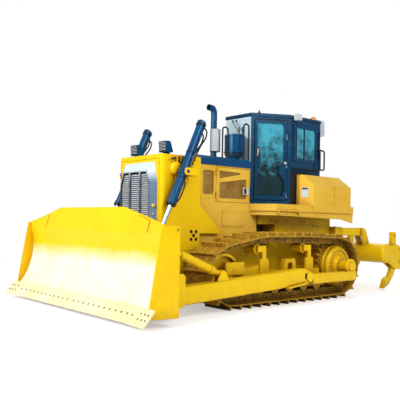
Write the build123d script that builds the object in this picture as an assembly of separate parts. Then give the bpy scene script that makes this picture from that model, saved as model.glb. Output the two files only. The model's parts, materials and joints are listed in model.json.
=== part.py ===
"""Crawler bulldozer with a raised-centre blade and a three-shank ripper.

Millimetres. +X points forward to the blade, +Y to the machine's left, +Z up.
Every length along X is counted from the sprocket axle; place() moves the finished
pieces so that the origin lies at the middle of the whole machine, on the ground.
"""
from build123d import *
from math import atan2, cos, degrees, hypot, pi, radians, sin, sqrt
import os

os.makedirs("parts", exist_ok=True)

# ---------------------------------------------------------------- driving sizes
# Tracks
TRACK_GAUGE = 2000           # between the two track centre lines
SHOE_WIDTH = 560
LINK_PITCH = 216
GROUSER_HEIGHT = 64          # from the shoe plate to the lug's tip
SHOE_PLATE = 14
LINK_ABOVE_PIN = 54          # from the pin's centre out to the shoe plate
LINK_BELOW_PIN = 50          # from the pin's centre in to the rail
LINK_THICKNESS = 34
LINK_SPREAD = 78             # track centre line to the middle of a link
SPROCKET_RADIUS = 434        # to the pins' centres
SPROCKET_WIDTH = 66
IDLER_X = 2745
IDLER_RADIUS = 390           # to the pins' centres
IDLER_WIDTH = 92
CARRIER_RADIUS = 86
CARRIER_Z = 900
CORNER_CUT = 9               # how far the straight links cut the corner over a carrier
FRONT_CARRIER_X = 2040
REAR_CARRIER_X = 900
ROLLER_RADIUS = 95
FIRST_ROLLER_X = 510
LAST_ROLLER_X = IDLER_X - 405
ROLLER_COUNT = 6
ROLLER_SPACING = (LAST_ROLLER_X - FIRST_ROLLER_X) / (ROLLER_COUNT - 1)

# Track roller frames
FRAME_WIDTH = 280
FRAME_BOTTOM = 330
FRAME_TOP = 545
TRUNNION_X = 1240            # pivot of the push arms
TRUNNION_Z = 450
TRUNNION_RADIUS = 55
OUTER_BEAM_IN = 1362         # the beam outside the track, inner and outer faces
OUTER_BEAM_OUT = 1520
OUTER_BEAM_BOTTOM = 330
OUTER_BEAM_TOP = 490
OUTER_BEAM_REAR = -70
HUB_RADIUS = 110
DRUM_RADIUS = 368

# Hull
HULL_HALF = 560
HULL_REAR = -600
BELLY_Z = 405
BELLY_PLATE = 25
CASE_FRONT = 1000
CASE_TOP = 1290
ENGINE_REAR = 1450
RAIL_TOP = 870
RAIL_FRONT = 3180
RAIL_WIDTH = 90

# Radiator guard, hood and engine sides
GUARD_HALF = 570
GUARD_FRONT = 3569
GUARD_REAR = 2795
GUARD_TOP = 2331
GUARD_BOTTOM = 870
GUARD_WALL = 25
GUARD_CORNER = 70
HOOD_HALF = 500
HOOD_REAR = 1420
HOOD_TOP = 2375
HOOD_BOTTOM = 2240
SIDE_PANEL = 20
DOOR_FRONT = 2390
DOOR_REAR = 1620
DOOR_BOTTOM = 1650
DOOR_TOP = 2215

# Cab
CAB_FLOOR = 1640
CAB_HEIGHT = 1550
CAB_TOP = CAB_FLOOR + CAB_HEIGHT
CAB_FRONT_X = 1400
CAB_FRONT_HALF = 320
CAB_MIDDLE_X = 740
CAB_MIDDLE_HALF = 660
CAB_REAR_X = -150
CAB_REAR_HALF = 640
CAB_WALL = 40
ROOF_HEIGHT = 75
ROOF_TOP = CAB_TOP + ROOF_HEIGHT
ROOF_OVERHANG = 10
GLASS = 6

# Blade
BLADE_HALF = 1860
BLADE_TOP = 1503
WING_TOP = 1265
MOLDBOARD = 25
ARM_IN = 1342
ARM_OUT = 1520
LUG_X = 3880                 # pin of the lift cylinders on the blade
LUG_Z = 720
LUG_RADIUS = 75
LIFT_Y = 700
LIFT_PIVOT_X = 3265          # trunnion of the lift cylinders
LIFT_PIVOT_Z = 2067
LIFT_BARREL = 62
LIFT_ROD = 35

# Ripper
RIPPER_LINK = 750
RIPPER_UPPER = (-890, 1160)
RIPPER_LOWER = (-800, 640)
RIPPER_BEAM_X = -1800
RIPPER_BEAM_Z = 740
RIPPER_BEAM_RADIUS = 195
RIPPER_BEAM_HALF = 1100
SHANK_Y = 1000
SHANK_HALF = 37
SHANK_TIP_Z = 35
PIN_RADIUS = 35

# Clearances
RUNNING = 0.05               # radial clearance of a pin in its bore
SEAT = 0.3                   # a piece and the seat that it rests on
MOVING = 8                   # between pieces that move past each other

GRADE = LINK_ABOVE_PIN + SHOE_PLATE + GROUSER_HEIGHT     # lug's tip to pin centre
SPROCKET_Z = GRADE + SPROCKET_RADIUS
IDLER_Z = GRADE + IDLER_RADIUS
ROLLER_Z = GRADE + LINK_BELOW_PIN + ROLLER_RADIUS
TRACK_Y = TRACK_GAUGE / 2


# ---------------------------------------------------------------- small helpers
def box(x, y, z):
    """A block from low to high along each axis."""
    middle = [(low + high) / 2 for low, high in (x, y, z)]
    return Pos(*middle) * Box(x[1] - x[0], y[1] - y[0], z[1] - z[0])


def prism(points, reach):
    """The closed outline of 3-D points, pushed along the vector reach."""
    face = make_face(Polyline(*points, close=True))
    return extrude(face, amount=Vector(*reach).length, dir=reach)


def side_plate(outline, y_low, y_high):
    """A plate whose outline is given in X and Z."""
    return prism([(x, y_low, z) for x, z in outline], (0, y_high - y_low, 0))


def level_plate(outline, z_low, z_high):
    """A plate whose outline is given in X and Y."""
    return prism([(x, y, z_low) for x, y in outline], (0, 0, z_high - z_low))


def front_plate(outline, x_low, x_high):
    """A plate whose outline is given in Y and Z."""
    return prism([(x_low, y, z) for y, z in outline], (x_high - x_low, 0, 0))


def rod(start, end, radius):
    """A round bar between two points."""
    run = Vector(*end) - Vector(*start)
    return extrude(Plane(origin=start, z_dir=run) * Circle(radius), run.length)


def cross_pin(x, z, y_low, y_high, radius):
    """A round bar along Y."""
    return rod((x, y_low, z), (x, y_high, z), radius)


def ring(x, z, y_low, y_high, outer, inner):
    return cross_pin(x, z, y_low, y_high, outer) - cross_pin(x, z, y_low - 1, y_high + 1, inner)


def flipped(shape):
    """The same shape on the machine's right side."""
    return mirror(shape, about=Plane.XZ)


def both(shape):
    return shape + flipped(shape)


def solids_of(*shapes):
    """Separate solids that share one node."""
    return Compound([solid for shape in shapes for solid in shape.solids()])


# ---------------------------------------------------------------- walls and hinges
HINGE_KNUCKLE = 14           # radius
HINGE_PIN = 7
HINGE_OUT = 16               # hinge axis out from the wall's face
HINGE_HEIGHT = 40            # of each of the two knuckles
HINGE_LEAF = 55
HINGE_PLATE = 6


def wall_plane(corner, towards, z):
    """The outside of a wall: x along it, y up, z outwards; corners in X and Y."""
    run = Vector(towards[0] - corner[0], towards[1] - corner[1], 0)
    return Plane(origin=(corner[0], corner[1], z), x_dir=run, z_dir=run.cross(Vector(0, 0, 1)))


def on_wall(plane, u, v, w, radius=0):
    """A block on a wall: u along it, v up, w outwards, each low to high, with rounded corners."""
    block = box(u, v, w)
    if radius:
        block = fillet(block.edges().filter_by(Axis.Z), radius)
    return plane.location * block


def upright(plane, u, v, radius):
    """A round bar beside a wall, on the hinge's axis, from low to high v."""
    return plane.location * rod((u, v[0], HINGE_OUT), (u, v[1], HINGE_OUT), radius)


def fixed_hinge(plane, u, v, side, leaf=HINGE_LEAF, depth=0):
    """Lower knuckle with its pin, and its leaf, set depth into the wall beside the door."""
    low, high = sorted((u, u - side * leaf))
    knuckle = upright(plane, u, (v, v + HINGE_HEIGHT), HINGE_KNUCKLE)
    knuckle += upright(plane, u, (v, v + 2 * HINGE_HEIGHT), HINGE_PIN)
    return knuckle + on_wall(plane, (low, high), (v, v + HINGE_HEIGHT), (-depth, HINGE_PLATE))


def door_hinge(plane, u, v, side):
    """Upper knuckle, bored for the pin, and its leaf on the door."""
    low, high = sorted((u, u + side * HINGE_LEAF))
    v_low, v_high = v + HINGE_HEIGHT + SEAT, v + 2 * HINGE_HEIGHT
    knuckle = upright(plane, u, (v_low, v_high), HINGE_KNUCKLE)
    knuckle += on_wall(plane, (low, high), (v_low, v_high), (0, HINGE_PLATE))
    return knuckle - upright(plane, u, (v_low - 1, v_high + 1), HINGE_PIN + RUNNING)


# ---------------------------------------------------------------- tracks
def belt(wheels):
    """Stretches of a belt round wheels (x, z, radius), listed anticlockwise.

    Each stretch is (length, place), where place(s) gives x, z and the heading."""
    normals = []
    for (x1, z1, r1), (x2, z2, r2) in zip(wheels, wheels[1:] + wheels[:1]):
        span = hypot(x2 - x1, z2 - z1)
        lean = (r1 - r2) / span
        across = sqrt(1 - lean * lean)
        along = ((x2 - x1) / span, (z2 - z1) / span)
        normals.append(atan2(along[1] * lean - along[0] * across, along[0] * lean + along[1] * across))
    stretches = []
    for index, (x, z, radius) in enumerate(wheels):
        start, end = normals[index - 1], normals[index]
        turn = (end - start) % (2 * pi)

        def on_arc(s, x=x, z=z, radius=radius, start=start):
            angle = start + s / radius
            return x + radius * cos(angle), z + radius * sin(angle)

        stretches.append((turn * radius, on_arc))
        x2, z2, r2 = wheels[(index + 1) % len(wheels)]
        leave = (x + radius * cos(end), z + radius * sin(end))
        reach = (x2 + r2 * cos(end), z2 + r2 * sin(end))
        run = hypot(reach[0] - leave[0], reach[1] - leave[1])

        def on_run(s, leave=leave, reach=reach, run=run):
            return (leave[0] + (reach[0] - leave[0]) * s / run, leave[1] + (reach[1] - leave[1]) * s / run)

        stretches.append((run, on_run))
    return stretches


def track_pins():
    """The pins' centres round the track, evenly spaced along it."""
    carrier = CARRIER_RADIUS + LINK_BELOW_PIN
    stretches = belt([
        (0, SPROCKET_Z, SPROCKET_RADIUS),
        (IDLER_X, IDLER_Z, IDLER_RADIUS),
        (FRONT_CARRIER_X, CARRIER_Z, carrier),
        (REAR_CARRIER_X, CARRIER_Z, carrier),
    ])
    whole = sum(length for length, _ in stretches)
    count = round(whole / LINK_PITCH)
    pins = []
    for index in range(count):
        s = whole * index / count
        for length, place_at in stretches:
            if s <= length:
                pins.append(place_at(s))
                break
            s -= length
    return pins


def loop_outline(pins, steps):
    """An outline round the track: steps (share of the link, height off the pin line)."""
    points = []
    for (x1, z1), (x2, z2) in zip(pins, pins[1:] + pins[:1]):
        span = hypot(x2 - x1, z2 - z1)
        along = ((x2 - x1) / span, (z2 - z1) / span)
        out = (along[1], -along[0])
        for share, height in steps:
            points.append((x1 + (x2 - x1) * share + out[0] * height, z1 + (z2 - z1) * share + out[1] * height))
    return points


def mitred_outline(pins, height):
    """An anticlockwise outline moved outwards by height, corner for corner."""
    points = []
    for before, here, after in zip(pins[-1:] + pins[:-1], pins, pins[1:] + pins[:1]):
        angles = [atan2(q[1] - p[1], q[0] - p[0]) for p, q in ((before, here), (here, after))]
        turn = (angles[1] - angles[0] + pi) % (2 * pi) - pi
        heading = angles[0] + turn / 2 - pi / 2
        reach = height / cos(turn / 2)
        points.append((here[0] + reach * cos(heading), here[1] + reach * sin(heading)))
    return points


def make_track():
    """Left track: shoes with their grousers, and the two rows of links."""
    pins = track_pins()
    plate_top = LINK_ABOVE_PIN + SHOE_PLATE
    shoe_steps = [(0.02, plate_top), (0.80, plate_top), (0.84, GRADE), (0.92, GRADE), (0.96, plate_top)]
    y_low, y_high = TRACK_Y - SHOE_WIDTH / 2, TRACK_Y + SHOE_WIDTH / 2
    inner = mitred_outline(pins, LINK_ABOVE_PIN)
    track = side_plate(loop_outline(pins, shoe_steps), y_low, y_high)
    track -= side_plate(inner, y_low - 1, y_high + 1)
    rail_steps = [(0.0, 0.6 * -LINK_BELOW_PIN), (0.12, -LINK_BELOW_PIN), (0.88, -LINK_BELOW_PIN)]
    for side in (-1, 1):
        middle = TRACK_Y + side * LINK_SPREAD
        rail_low, rail_high = middle - LINK_THICKNESS / 2, middle + LINK_THICKNESS / 2
        rail = side_plate(mitred_outline(pins, LINK_ABOVE_PIN + SHOE_PLATE / 2), rail_low, rail_high)
        rail -= side_plate(loop_outline(pins, rail_steps), rail_low - 1, rail_high + 1)
        track += rail
    return track


def make_sprocket():
    """Left sprocket: two teeth for each link, as the pins sit in every other gap."""
    pins = track_pins()
    first, second = [degrees(atan2(z - SPROCKET_Z, x)) for x, z in pins[:2]]
    link_angle = (second - first) % 360
    count = round(720 / link_angle)
    root, tip = SPROCKET_RADIUS - 42, SPROCKET_RADIUS + 26
    points = []
    for index in range(count):
        for share, radius in ((0.30, root), (0.70, root), (0.90, tip), (1.10, tip)):
            angle = radians(first) + 2 * pi * (index + share - 0.5) / count
            points.append((radius * cos(angle), SPROCKET_Z + radius * sin(angle)))
    return side_plate(points, TRACK_Y - SPROCKET_WIDTH / 2, TRACK_Y + SPROCKET_WIDTH / 2)


def make_final_drive():
    """Left final drive: case between hull and sprocket, and the dished drum outside it."""
    inner = TRACK_Y - SPROCKET_WIDTH / 2
    outer = TRACK_Y + SPROCKET_WIDTH / 2
    case = cross_pin(0, SPROCKET_Z, HULL_HALF, inner, 300)
    case = chamfer(case.edges().filter_by(GeomType.CIRCLE).sort_by(Axis.Y)[-1], 60)
    profile = [(0, outer), (DRUM_RADIUS, outer), (DRUM_RADIUS, outer + 70), (DRUM_RADIUS - 22, outer + 92),
               (DRUM_RADIUS - 22, DRUM_FACE - 85), (DRUM_RADIUS - 62, DRUM_FACE - 45), (DRUM_RADIUS - 92, DRUM_FACE - 45),
               (DRUM_RADIUS - 110, DRUM_FACE - 70), (210, DRUM_FACE - 70), (175, DRUM_FACE - 20), (150, DRUM_FACE - SEAT),
               (0, DRUM_FACE - SEAT)]
    face = make_face(Polyline(*[(r, y, SPROCKET_Z) for r, y in profile], close=True))
    drum = revolve(face, axis=Axis((0, 0, SPROCKET_Z), (0, 1, 0)))
    return solids_of(case, drum)


DRUM_FACE = TRACK_Y + SHOE_WIDTH / 2 - 20


def make_idler():
    """Left idler: two treads, a raised middle between the links, dished webs and a hub."""
    link_angle = LINK_PITCH / IDLER_RADIUS
    tread = IDLER_RADIUS * cos(link_angle / 2) - LINK_BELOW_PIN - 2
    half = LINK_SPREAD + LINK_THICKNESS / 2
    wheel = cross_pin(IDLER_X, IDLER_Z, TRACK_Y - half, TRACK_Y + half, tread)
    wheel += cross_pin(IDLER_X, IDLER_Z, TRACK_Y - IDLER_WIDTH / 2, TRACK_Y + IDLER_WIDTH / 2, tread + 20)
    for side in (-1, 1):
        face = TRACK_Y + side * half
        wheel -= ring(IDLER_X, IDLER_Z, *sorted((face, face - side * 55)), tread - 42, 115)
    for side in (-1, 1):
        wheel -= cross_pin(IDLER_X + side * 205, IDLER_Z, TRACK_Y - half - 1, TRACK_Y + half + 1, 52)
    axle = FRAME_WIDTH / 2 - 20 - SEAT
    return wheel + cross_pin(IDLER_X, IDLER_Z, TRACK_Y - axle, TRACK_Y + axle, 60)


def make_rollers():
    """Left track rollers and carrier rollers with their axles."""
    rollers = []
    for index in range(ROLLER_COUNT):
        x = FIRST_ROLLER_X + index * ROLLER_SPACING
        rollers.append(flanged_roller(x, ROLLER_Z, ROLLER_RADIUS - SEAT))
    for x in (FRONT_CARRIER_X, REAR_CARRIER_X):
        rollers.append(flanged_roller(x, CARRIER_Z, CARRIER_RADIUS - CORNER_CUT))
    return rollers


ROLLER_TREAD = 101           # half widths of a roller over treads, flanges and axle
ROLLER_HALF = 112
ROLLER_AXLE = 120


def flanged_roller(x, z, radius):
    """A roller with two treads, flanges outside them and its axle."""
    roller = cross_pin(x, z, TRACK_Y - ROLLER_TREAD, TRACK_Y + ROLLER_TREAD, radius)
    for side in (-1, 1):
        low, high = sorted((TRACK_Y + side * ROLLER_TREAD, TRACK_Y + side * ROLLER_HALF))
        roller += cross_pin(x, z, low, high, radius + 12)
    axle = ROLLER_AXLE - SEAT
    return roller + cross_pin(x, z, TRACK_Y - axle, TRACK_Y + axle, 34)


# ---------------------------------------------------------------- track frames
def make_track_frame():
    """Left roller frame with its roller guards, idler fork, carrier posts and outer beam."""
    low, high = TRACK_Y - FRAME_WIDTH / 2, TRACK_Y + FRAME_WIDTH / 2
    rear, front = SPROCKET_RADIUS + 60, IDLER_X - IDLER_RADIUS - 10
    frame = box((rear, front), (low, high), (FRAME_BOTTOM + 60, FRAME_TOP))
    for y in (low, high - 20):
        guard = [(rear - 150, FRAME_BOTTOM + 61), (rear - 150, ROLLER_Z + 20), (rear - 110, ROLLER_Z - 30),
                 (front - 60, ROLLER_Z - 30), (front, ROLLER_Z + 20), (front, FRAME_BOTTOM + 61)]
        frame += side_plate(guard, y, y + 20)
        frame += box((front - 200, IDLER_X + 110), (y, y + 20), (IDLER_Z - 90, IDLER_Z + 90))
    slide = box((IDLER_X - 330, IDLER_X + 75), (high - 1, high + 62), (IDLER_Z - 12, IDLER_Z + 190))
    frame += chamfer(slide.faces().sort_by(Axis.Y)[-1].edges(), 14)
    frame += cross_pin(IDLER_X, IDLER_Z, high - 1, high + 46, 92)
    hood = [(front - 330, FRAME_TOP - 1), (front - 330, FRAME_TOP + 95), (front - 260, FRAME_TOP + 100),
            (front - 40, FRAME_TOP + 40), (front - 40, FRAME_TOP - 1)]
    frame += side_plate(hood, low + 20, high)
    arch = side_plate([(1120, FRAME_TOP - 1), (1145, FRAME_TOP + 180), (1400, FRAME_TOP + 180), (1425, FRAME_TOP - 1)],
                      high - 90, high)
    arch = fillet(arch.edges().filter_by(Axis.Y).group_by(Axis.Z)[-1], 35)
    arch -= cross_pin(1272, FRAME_TOP + 60, high - 91, high + 1, 62)
    frame += arch - box((1210, 1334), (high - 91, high + 1), (FRAME_TOP - 2, FRAME_TOP + 60))
    post = (TRACK_Y + ROLLER_AXLE, high + 20)
    for x in (FRONT_CARRIER_X, REAR_CARRIER_X):
        foot = box((x - 215, x - 10), post, (FRAME_BOTTOM + 60, FRAME_TOP + 200))
        frame += chamfer(foot.edges().filter_by(Axis.Y).group_by(Axis.Z)[-1], 30)
        frame += box((x - 150, x - 65), post, (FRAME_TOP + 199, CARRIER_Z + 52))
        frame += box((x - 66, x + 40), post, (CARRIER_Z - 50, CARRIER_Z + 50))
    cross = (OUTER_BEAM_BOTTOM + 40, OUTER_BEAM_TOP - 20)
    frame += box((TRUNNION_X - 90, TRUNNION_X + 90), (high, OUTER_BEAM_IN - 60), cross)
    frame += box((640, 820), (high, OUTER_BEAM_IN), cross)
    beam_front = TRUNNION_X - EYE_RADIUS - MOVING
    beam = box((OUTER_BEAM_REAR, beam_front), (OUTER_BEAM_IN, OUTER_BEAM_OUT), (OUTER_BEAM_BOTTOM, OUTER_BEAM_TOP))
    frame += chamfer(beam.edges().filter_by(Axis.X).group_by(Axis.Y)[-1], 16)
    frame += cross_pin(TRUNNION_X, TRUNNION_Z, OUTER_BEAM_IN - 60, ARM_OUT + 26, TRUNNION_RADIUS)
    cap = cross_pin(TRUNNION_X, TRUNNION_Z, ARM_OUT + 5, ARM_OUT + 26, 80)
    frame += chamfer(cap.edges().filter_by(GeomType.CIRCLE).sort_by(Axis.Y)[-1], 8)
    hub = cross_pin(0, SPROCKET_Z, DRUM_FACE, OUTER_BEAM_OUT - 60, HUB_RADIUS)
    hub += cross_pin(0, SPROCKET_Z, OUTER_BEAM_OUT - 95, OUTER_BEAM_OUT - 55, HUB_RADIUS + 28)
    hub += cross_pin(0, SPROCKET_Z, OUTER_BEAM_OUT - 56, OUTER_BEAM_OUT - 38, HUB_RADIUS - 30)
    return frame + hub


EYE_RADIUS = 95              # of the push arm's eye round its trunnion


# ---------------------------------------------------------------- hull
def make_main_frame():
    """Rear case, the two engine rails, belly plate, equaliser bar and pivot shaft."""
    case_outline = [
        (HULL_REAR, BELLY_Z), (CASE_FRONT, BELLY_Z), (CASE_FRONT, CASE_TOP), (HULL_REAR, CASE_TOP),
    ]
    hull = side_plate(case_outline, -HULL_HALF, HULL_HALF)
    hull += box((CASE_FRONT, RAIL_FRONT), (-HULL_HALF, HULL_HALF), (BELLY_Z, BELLY_Z + BELLY_PLATE))
    for y_low in (-HULL_HALF, HULL_HALF - RAIL_WIDTH):
        hull += box((CASE_FRONT, RAIL_FRONT), (y_low, y_low + RAIL_WIDTH), (BELLY_Z, RAIL_TOP))
    hull += box((RAIL_FRONT - 120, RAIL_FRONT), (-HULL_HALF, HULL_HALF), (BELLY_Z, RAIL_TOP))
    frame_face = TRACK_Y - FRAME_WIDTH / 2
    hull += box((2250, 2400), (-frame_face, frame_face), (500, 640))
    hull += cross_pin(620, 500, -frame_face, frame_face, 70)
    return hull


def make_engine():
    """Engine and torque converter as one plain block."""
    block = box((ENGINE_REAR, 2620), (-330, 330), (640, 2050))
    return block + box((CASE_FRONT, ENGINE_REAR), (-260, 260), (640, CASE_TOP - 20))


def make_radiator():
    half = GUARD_HALF - GUARD_WALL - SEAT
    return box((3150, 3290), (-half, half), (RAIL_TOP, GUARD_TOP - GUARD_WALL - SEAT))


# ---------------------------------------------------------------- engine enclosure
GRILLE_HALF = 500
GRILLE_TOP = 2260
GRILLE_BOTTOM = 1000


def make_radiator_guard():
    """Front guard: rounded front columns, rimmed top, side walls that run down and back."""
    outline = [(GUARD_REAR, -GUARD_HALF), (GUARD_FRONT, -GUARD_HALF), (GUARD_FRONT, GUARD_HALF),
               (GUARD_REAR, GUARD_HALF)]
    guard = level_plate(outline, GUARD_BOTTOM, GUARD_TOP)
    guard = fillet(guard.edges().filter_by(Axis.Z).group_by(Axis.X)[-1], GUARD_CORNER)
    inner = GUARD_HALF - GUARD_WALL
    guard -= box((GUARD_REAR - 1, GUARD_FRONT - GUARD_WALL), (-inner, inner), (GUARD_BOTTOM - 1, GUARD_TOP - GUARD_WALL))
    guard -= box((GUARD_REAR + 40, GUARD_FRONT - 55), (-GUARD_HALF + 45, GUARD_HALF - 45),
                 (GUARD_TOP - GUARD_RIM, GUARD_TOP + 1))
    guard -= box((GUARD_FRONT - GUARD_WALL - 1, GUARD_FRONT + 1),
                 (-GRILLE_HALF - 6, GRILLE_HALF + 6), (GRILLE_BOTTOM - 6, GRILLE_TOP + 6))
    apron = [(GUARD_REAR + 20, 1600), (APRON_REAR, 1190), (APRON_REAR, 1130), (GUARD_REAR + 20, 1130)]
    guard += both(side_plate(apron, inner, GUARD_HALF))
    for x in (APRON_REAR + 60, GUARD_REAR - 80):
        guard += both(rod((x, HOOD_HALF + SEAT, 1165), (x, GUARD_HALF, 1165), 18))
    for v in GRILLE_HINGES:
        guard += fixed_hinge(GRILLE_PLANE, 0, v, 1, leaf=40, depth=GUARD_CORNER)
    return guard


GUARD_RIM = 12               # height of the rim round the guard's top
APRON_REAR = 2350            # where the guard's lower side plate ends


GRILLE_PLANE = wall_plane((GUARD_FRONT, -GRILLE_HALF - 3), (GUARD_FRONT, 0), GRILLE_BOTTOM)
GRILLE_HINGES = (200, 1000)


def make_grille_door():
    """Grille door: flat rim, bevels that rise forward to the slats' frame, and two ribs."""
    rim = [(-GRILLE_HALF, GRILLE_BOTTOM), (GRILLE_HALF, GRILLE_BOTTOM), (GRILLE_HALF, GRILLE_TOP),
           (-GRILLE_HALF, GRILLE_TOP)]
    back = GUARD_FRONT - GUARD_WALL
    door = front_plate(rim, back, GUARD_FRONT) + bevels(GUARD_FRONT - 1, BEVEL_FOOT, BEVEL_TOP)
    door -= bevels(GUARD_FRONT - 1 - SHEET, inset(BEVEL_FOOT, SHEET), inset(BEVEL_TOP, SHEET))
    door -= front_plate(inset(BEVEL_FOOT, SHEET), back - 1, GUARD_FRONT - SHEET)
    door -= front_plate(inset(BEVEL_TOP, 14), back, SLAT_FRONT + 20)
    for y in (-150, 120):
        top = BEVEL_TOP[3][1] - 14
        door += box((SLAT_FRONT - 22, SLAT_FRONT), (y, y + 30), (GRILLE_BOTTOM + 55, top + 4))
    for v in GRILLE_HINGES:
        door += door_hinge(GRILLE_PLANE, 0, v, 1)
    return door


SHEET = 12                   # thickness of the grille door's sheet
SLAT_FRONT = GUARD_FRONT + 96
BEVEL_FOOT = [(-470, GRILLE_BOTTOM + 25), (470, GRILLE_BOTTOM + 25), (470, 1900), (390, 2225), (-390, 2225),
              (-470, 1900)]
BEVEL_TOP = [(-385, GRILLE_BOTTOM + 55), (385, GRILLE_BOTTOM + 55), (385, 1880), (315, 2075), (-315, 2075),
             (-385, 1880)]


def inset(outline, gap):
    """An outline in Y and Z made smaller by about gap on each side."""
    middle = sum(z for _, z in outline) / len(outline)
    return [(y - gap if y > 0 else y + gap, z - gap if z > middle else z + gap) for y, z in outline]


def bevels(x, foot, top):
    """The solid between the bevels' foot at x and the slats' frame."""
    lower = make_face(Polyline(*[(x, y, z) for y, z in foot], close=True))
    upper = make_face(Polyline(*[(x + SLAT_FRONT - GUARD_FRONT + 1, y, z) for y, z in top], close=True))
    return loft([lower, upper])


def make_grille_slats():
    """Louvre slats behind the ribs, each leaning down and forward."""
    outline = inset(BEVEL_TOP, 14 + SEAT)
    slats = []
    z = outline[0][1] + 12
    while z + 26 < outline[3][1]:
        half = outline[2][0]
        if z + 26 > outline[2][1]:
            rise = (z + 26 - outline[2][1]) / (outline[3][1] - outline[2][1])
            half += (outline[3][0] - outline[2][0]) * rise
        x = SLAT_FRONT - 22 - SEAT
        slats.append(prism([(x, -half, z), (x, -half, z + 7), (x - 30, -half, z + 26), (x - 30, -half, z + 19)],
                           (0, 2 * half, 0)))
        z += SLAT_PITCH
    return slats


SLAT_PITCH = 31


def rear_corner(drop, z_low, z_high):
    """What the hood's slanted rear corner cuts away on the left, its line moved inwards by drop."""
    lean = (HOOD_HALF - COWL_HALF) / (SIDE_REAR - HOOD_REAR)
    rear, front = HOOD_REAR - 5, SIDE_REAR + 60
    plan = [(rear, COWL_HALF - 5 * lean - drop), (front, HOOD_HALF + 60 * lean - drop), (front, HOOD_HALF + 80),
            (rear, HOOD_HALF + 80)]
    return level_plate(plan, z_low, z_high)


def make_hood():
    """Top sheet over the engine: folded sides and slanted rear corners."""
    outline = [(-HOOD_HALF, HOOD_BOTTOM), (-HOOD_HALF, HOOD_TOP - 30), (-HOOD_HALF + 30, HOOD_TOP),
               (HOOD_HALF - 30, HOOD_TOP), (HOOD_HALF, HOOD_TOP - 30), (HOOD_HALF, HOOD_BOTTOM)]
    hood = front_plate(outline, HOOD_REAR, GUARD_REAR) - both(rear_corner(0, HOOD_BOTTOM - 1, HOOD_TOP + 1))
    inner = box((HOOD_REAR - 1, GUARD_REAR + 1), (-HOOD_HALF + SIDE_PANEL, HOOD_HALF - SIDE_PANEL),
                (HOOD_BOTTOM - 1, HOOD_TOP - SIDE_PANEL))
    return hood - (inner - both(rear_corner(COWL_SHEET, HOOD_BOTTOM - 2, HOOD_TOP)))


SIDE_REAR = 1600             # where the engine's side walls turn in towards the cab
COWL_HALF = 330
COWL_SHEET = 28              # of the slanted wall, measured along Y


def make_hood_stripe():
    """Left side band, folded over the hood's edge."""
    section = [(HOOD_HALF + SEAT, HOOD_BOTTOM), (HOOD_HALF + BAND, HOOD_BOTTOM), (HOOD_HALF + BAND, HOOD_TOP - 25),
               (HOOD_HALF - 25, HOOD_TOP + BAND), (HOOD_HALF - 50, HOOD_TOP + BAND), (HOOD_HALF - 50, HOOD_TOP + SEAT),
               (HOOD_HALF - 29.5, HOOD_TOP + SEAT), (HOOD_HALF + SEAT, HOOD_TOP - 29.5)]
    return front_plate(section, SIDE_REAR, GUARD_REAR - SEAT)


BAND = 12                    # thickness of the side band


GRIP_RADIUS = 14


def make_hand_grips():
    """Two upright grips on the left of the hood."""
    grips = []
    for x, top in ((2125, 2900), (1625, 3010)):
        path = FilletPolyline((x - 62, GRIP_Y, HOOD_TOP + SEAT), (x - 62, GRIP_Y, top), (x + 62, GRIP_Y, top),
                              (x + 62, GRIP_Y, HOOD_TOP + SEAT), radius=50)
        grips.append(sweep(Plane(origin=path @ 0, z_dir=path % 0) * Circle(GRIP_RADIUS), path))
    return grips


GRIP_Y = 420


def window_cut(points, radius):
    """A cut through the engine's left side sheet: outline in X and Z with rounded corners."""
    cut = side_plate(points, HOOD_HALF - SIDE_PANEL - 1, HOOD_HALF + 1)
    return fillet(cut.edges().filter_by(Axis.Y), radius)


def make_engine_sides():
    """Left fixed side wall round the engine door, with its window and the door's hinges."""
    low, high = HOOD_HALF - SIDE_PANEL, HOOD_HALF
    wall = box((SIDE_REAR, GUARD_REAR), (low, high), (RAIL_TOP, HOOD_BOTTOM))
    wall += box((HOOD_REAR, SIDE_REAR + 1), (low, high), (RAIL_TOP, FENDER_TOP))
    cowl = [(SIDE_REAR, HOOD_HALF), (HOOD_REAR, COWL_HALF), (HOOD_REAR, COWL_HALF - COWL_SHEET),
            (SIDE_REAR, HOOD_HALF - COWL_SHEET)]
    wall += level_plate(cowl, FENDER_TOP - 20, HOOD_BOTTOM)
    wall += level_plate([(SIDE_REAR, HOOD_HALF), (HOOD_REAR, HOOD_HALF), (HOOD_REAR, COWL_HALF)], FENDER_TOP - 20, FENDER_TOP)
    wall -= box((DOOR_REAR - 6, DOOR_FRONT + 6), (low - 1, high + 1), (DOOR_BOTTOM - 6, DOOR_TOP + 6))
    wall -= window_cut(FRONT_WINDOW, 35)
    lid = box((1745, 2250), (high, high + 10), (1240, 1500))
    wall += chamfer(lid.faces().sort_by(Axis.Y)[-1].edges(), 4)
    for v in ENGINE_HINGES:
        wall += fixed_hinge(ENGINE_PLANE, 0, v, 1)
    return wall


FRONT_WINDOW = [(2450, 1765), (2680, 1765), (2680, 2150), (2450, 2150)]
UPPER_WINDOW = [(1740, 2140), (2320, 2160), (2320, 2030)]
LOWER_WINDOW = [(1690, 1710), (2315, 1710), (2315, 1965), (1690, 2050)]
MESH = 3                     # thickness of the perforated sheets


def make_side_mesh():
    """Perforated sheet behind the fixed window on the left."""
    low_x, high_x = FRONT_WINDOW[0][0] - 20, FRONT_WINDOW[1][0] + 20
    low_z, high_z = FRONT_WINDOW[0][1] - 20, FRONT_WINDOW[2][1] + 20
    inner = HOOD_HALF - SIDE_PANEL - SEAT
    return box((low_x, high_x), (inner - MESH, inner), (low_z, high_z))


ENGINE_PLANE = wall_plane((DOOR_FRONT + 3, HOOD_HALF), (DOOR_REAR, HOOD_HALF), DOOR_BOTTOM)
ENGINE_HINGES = (60, 440)


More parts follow.
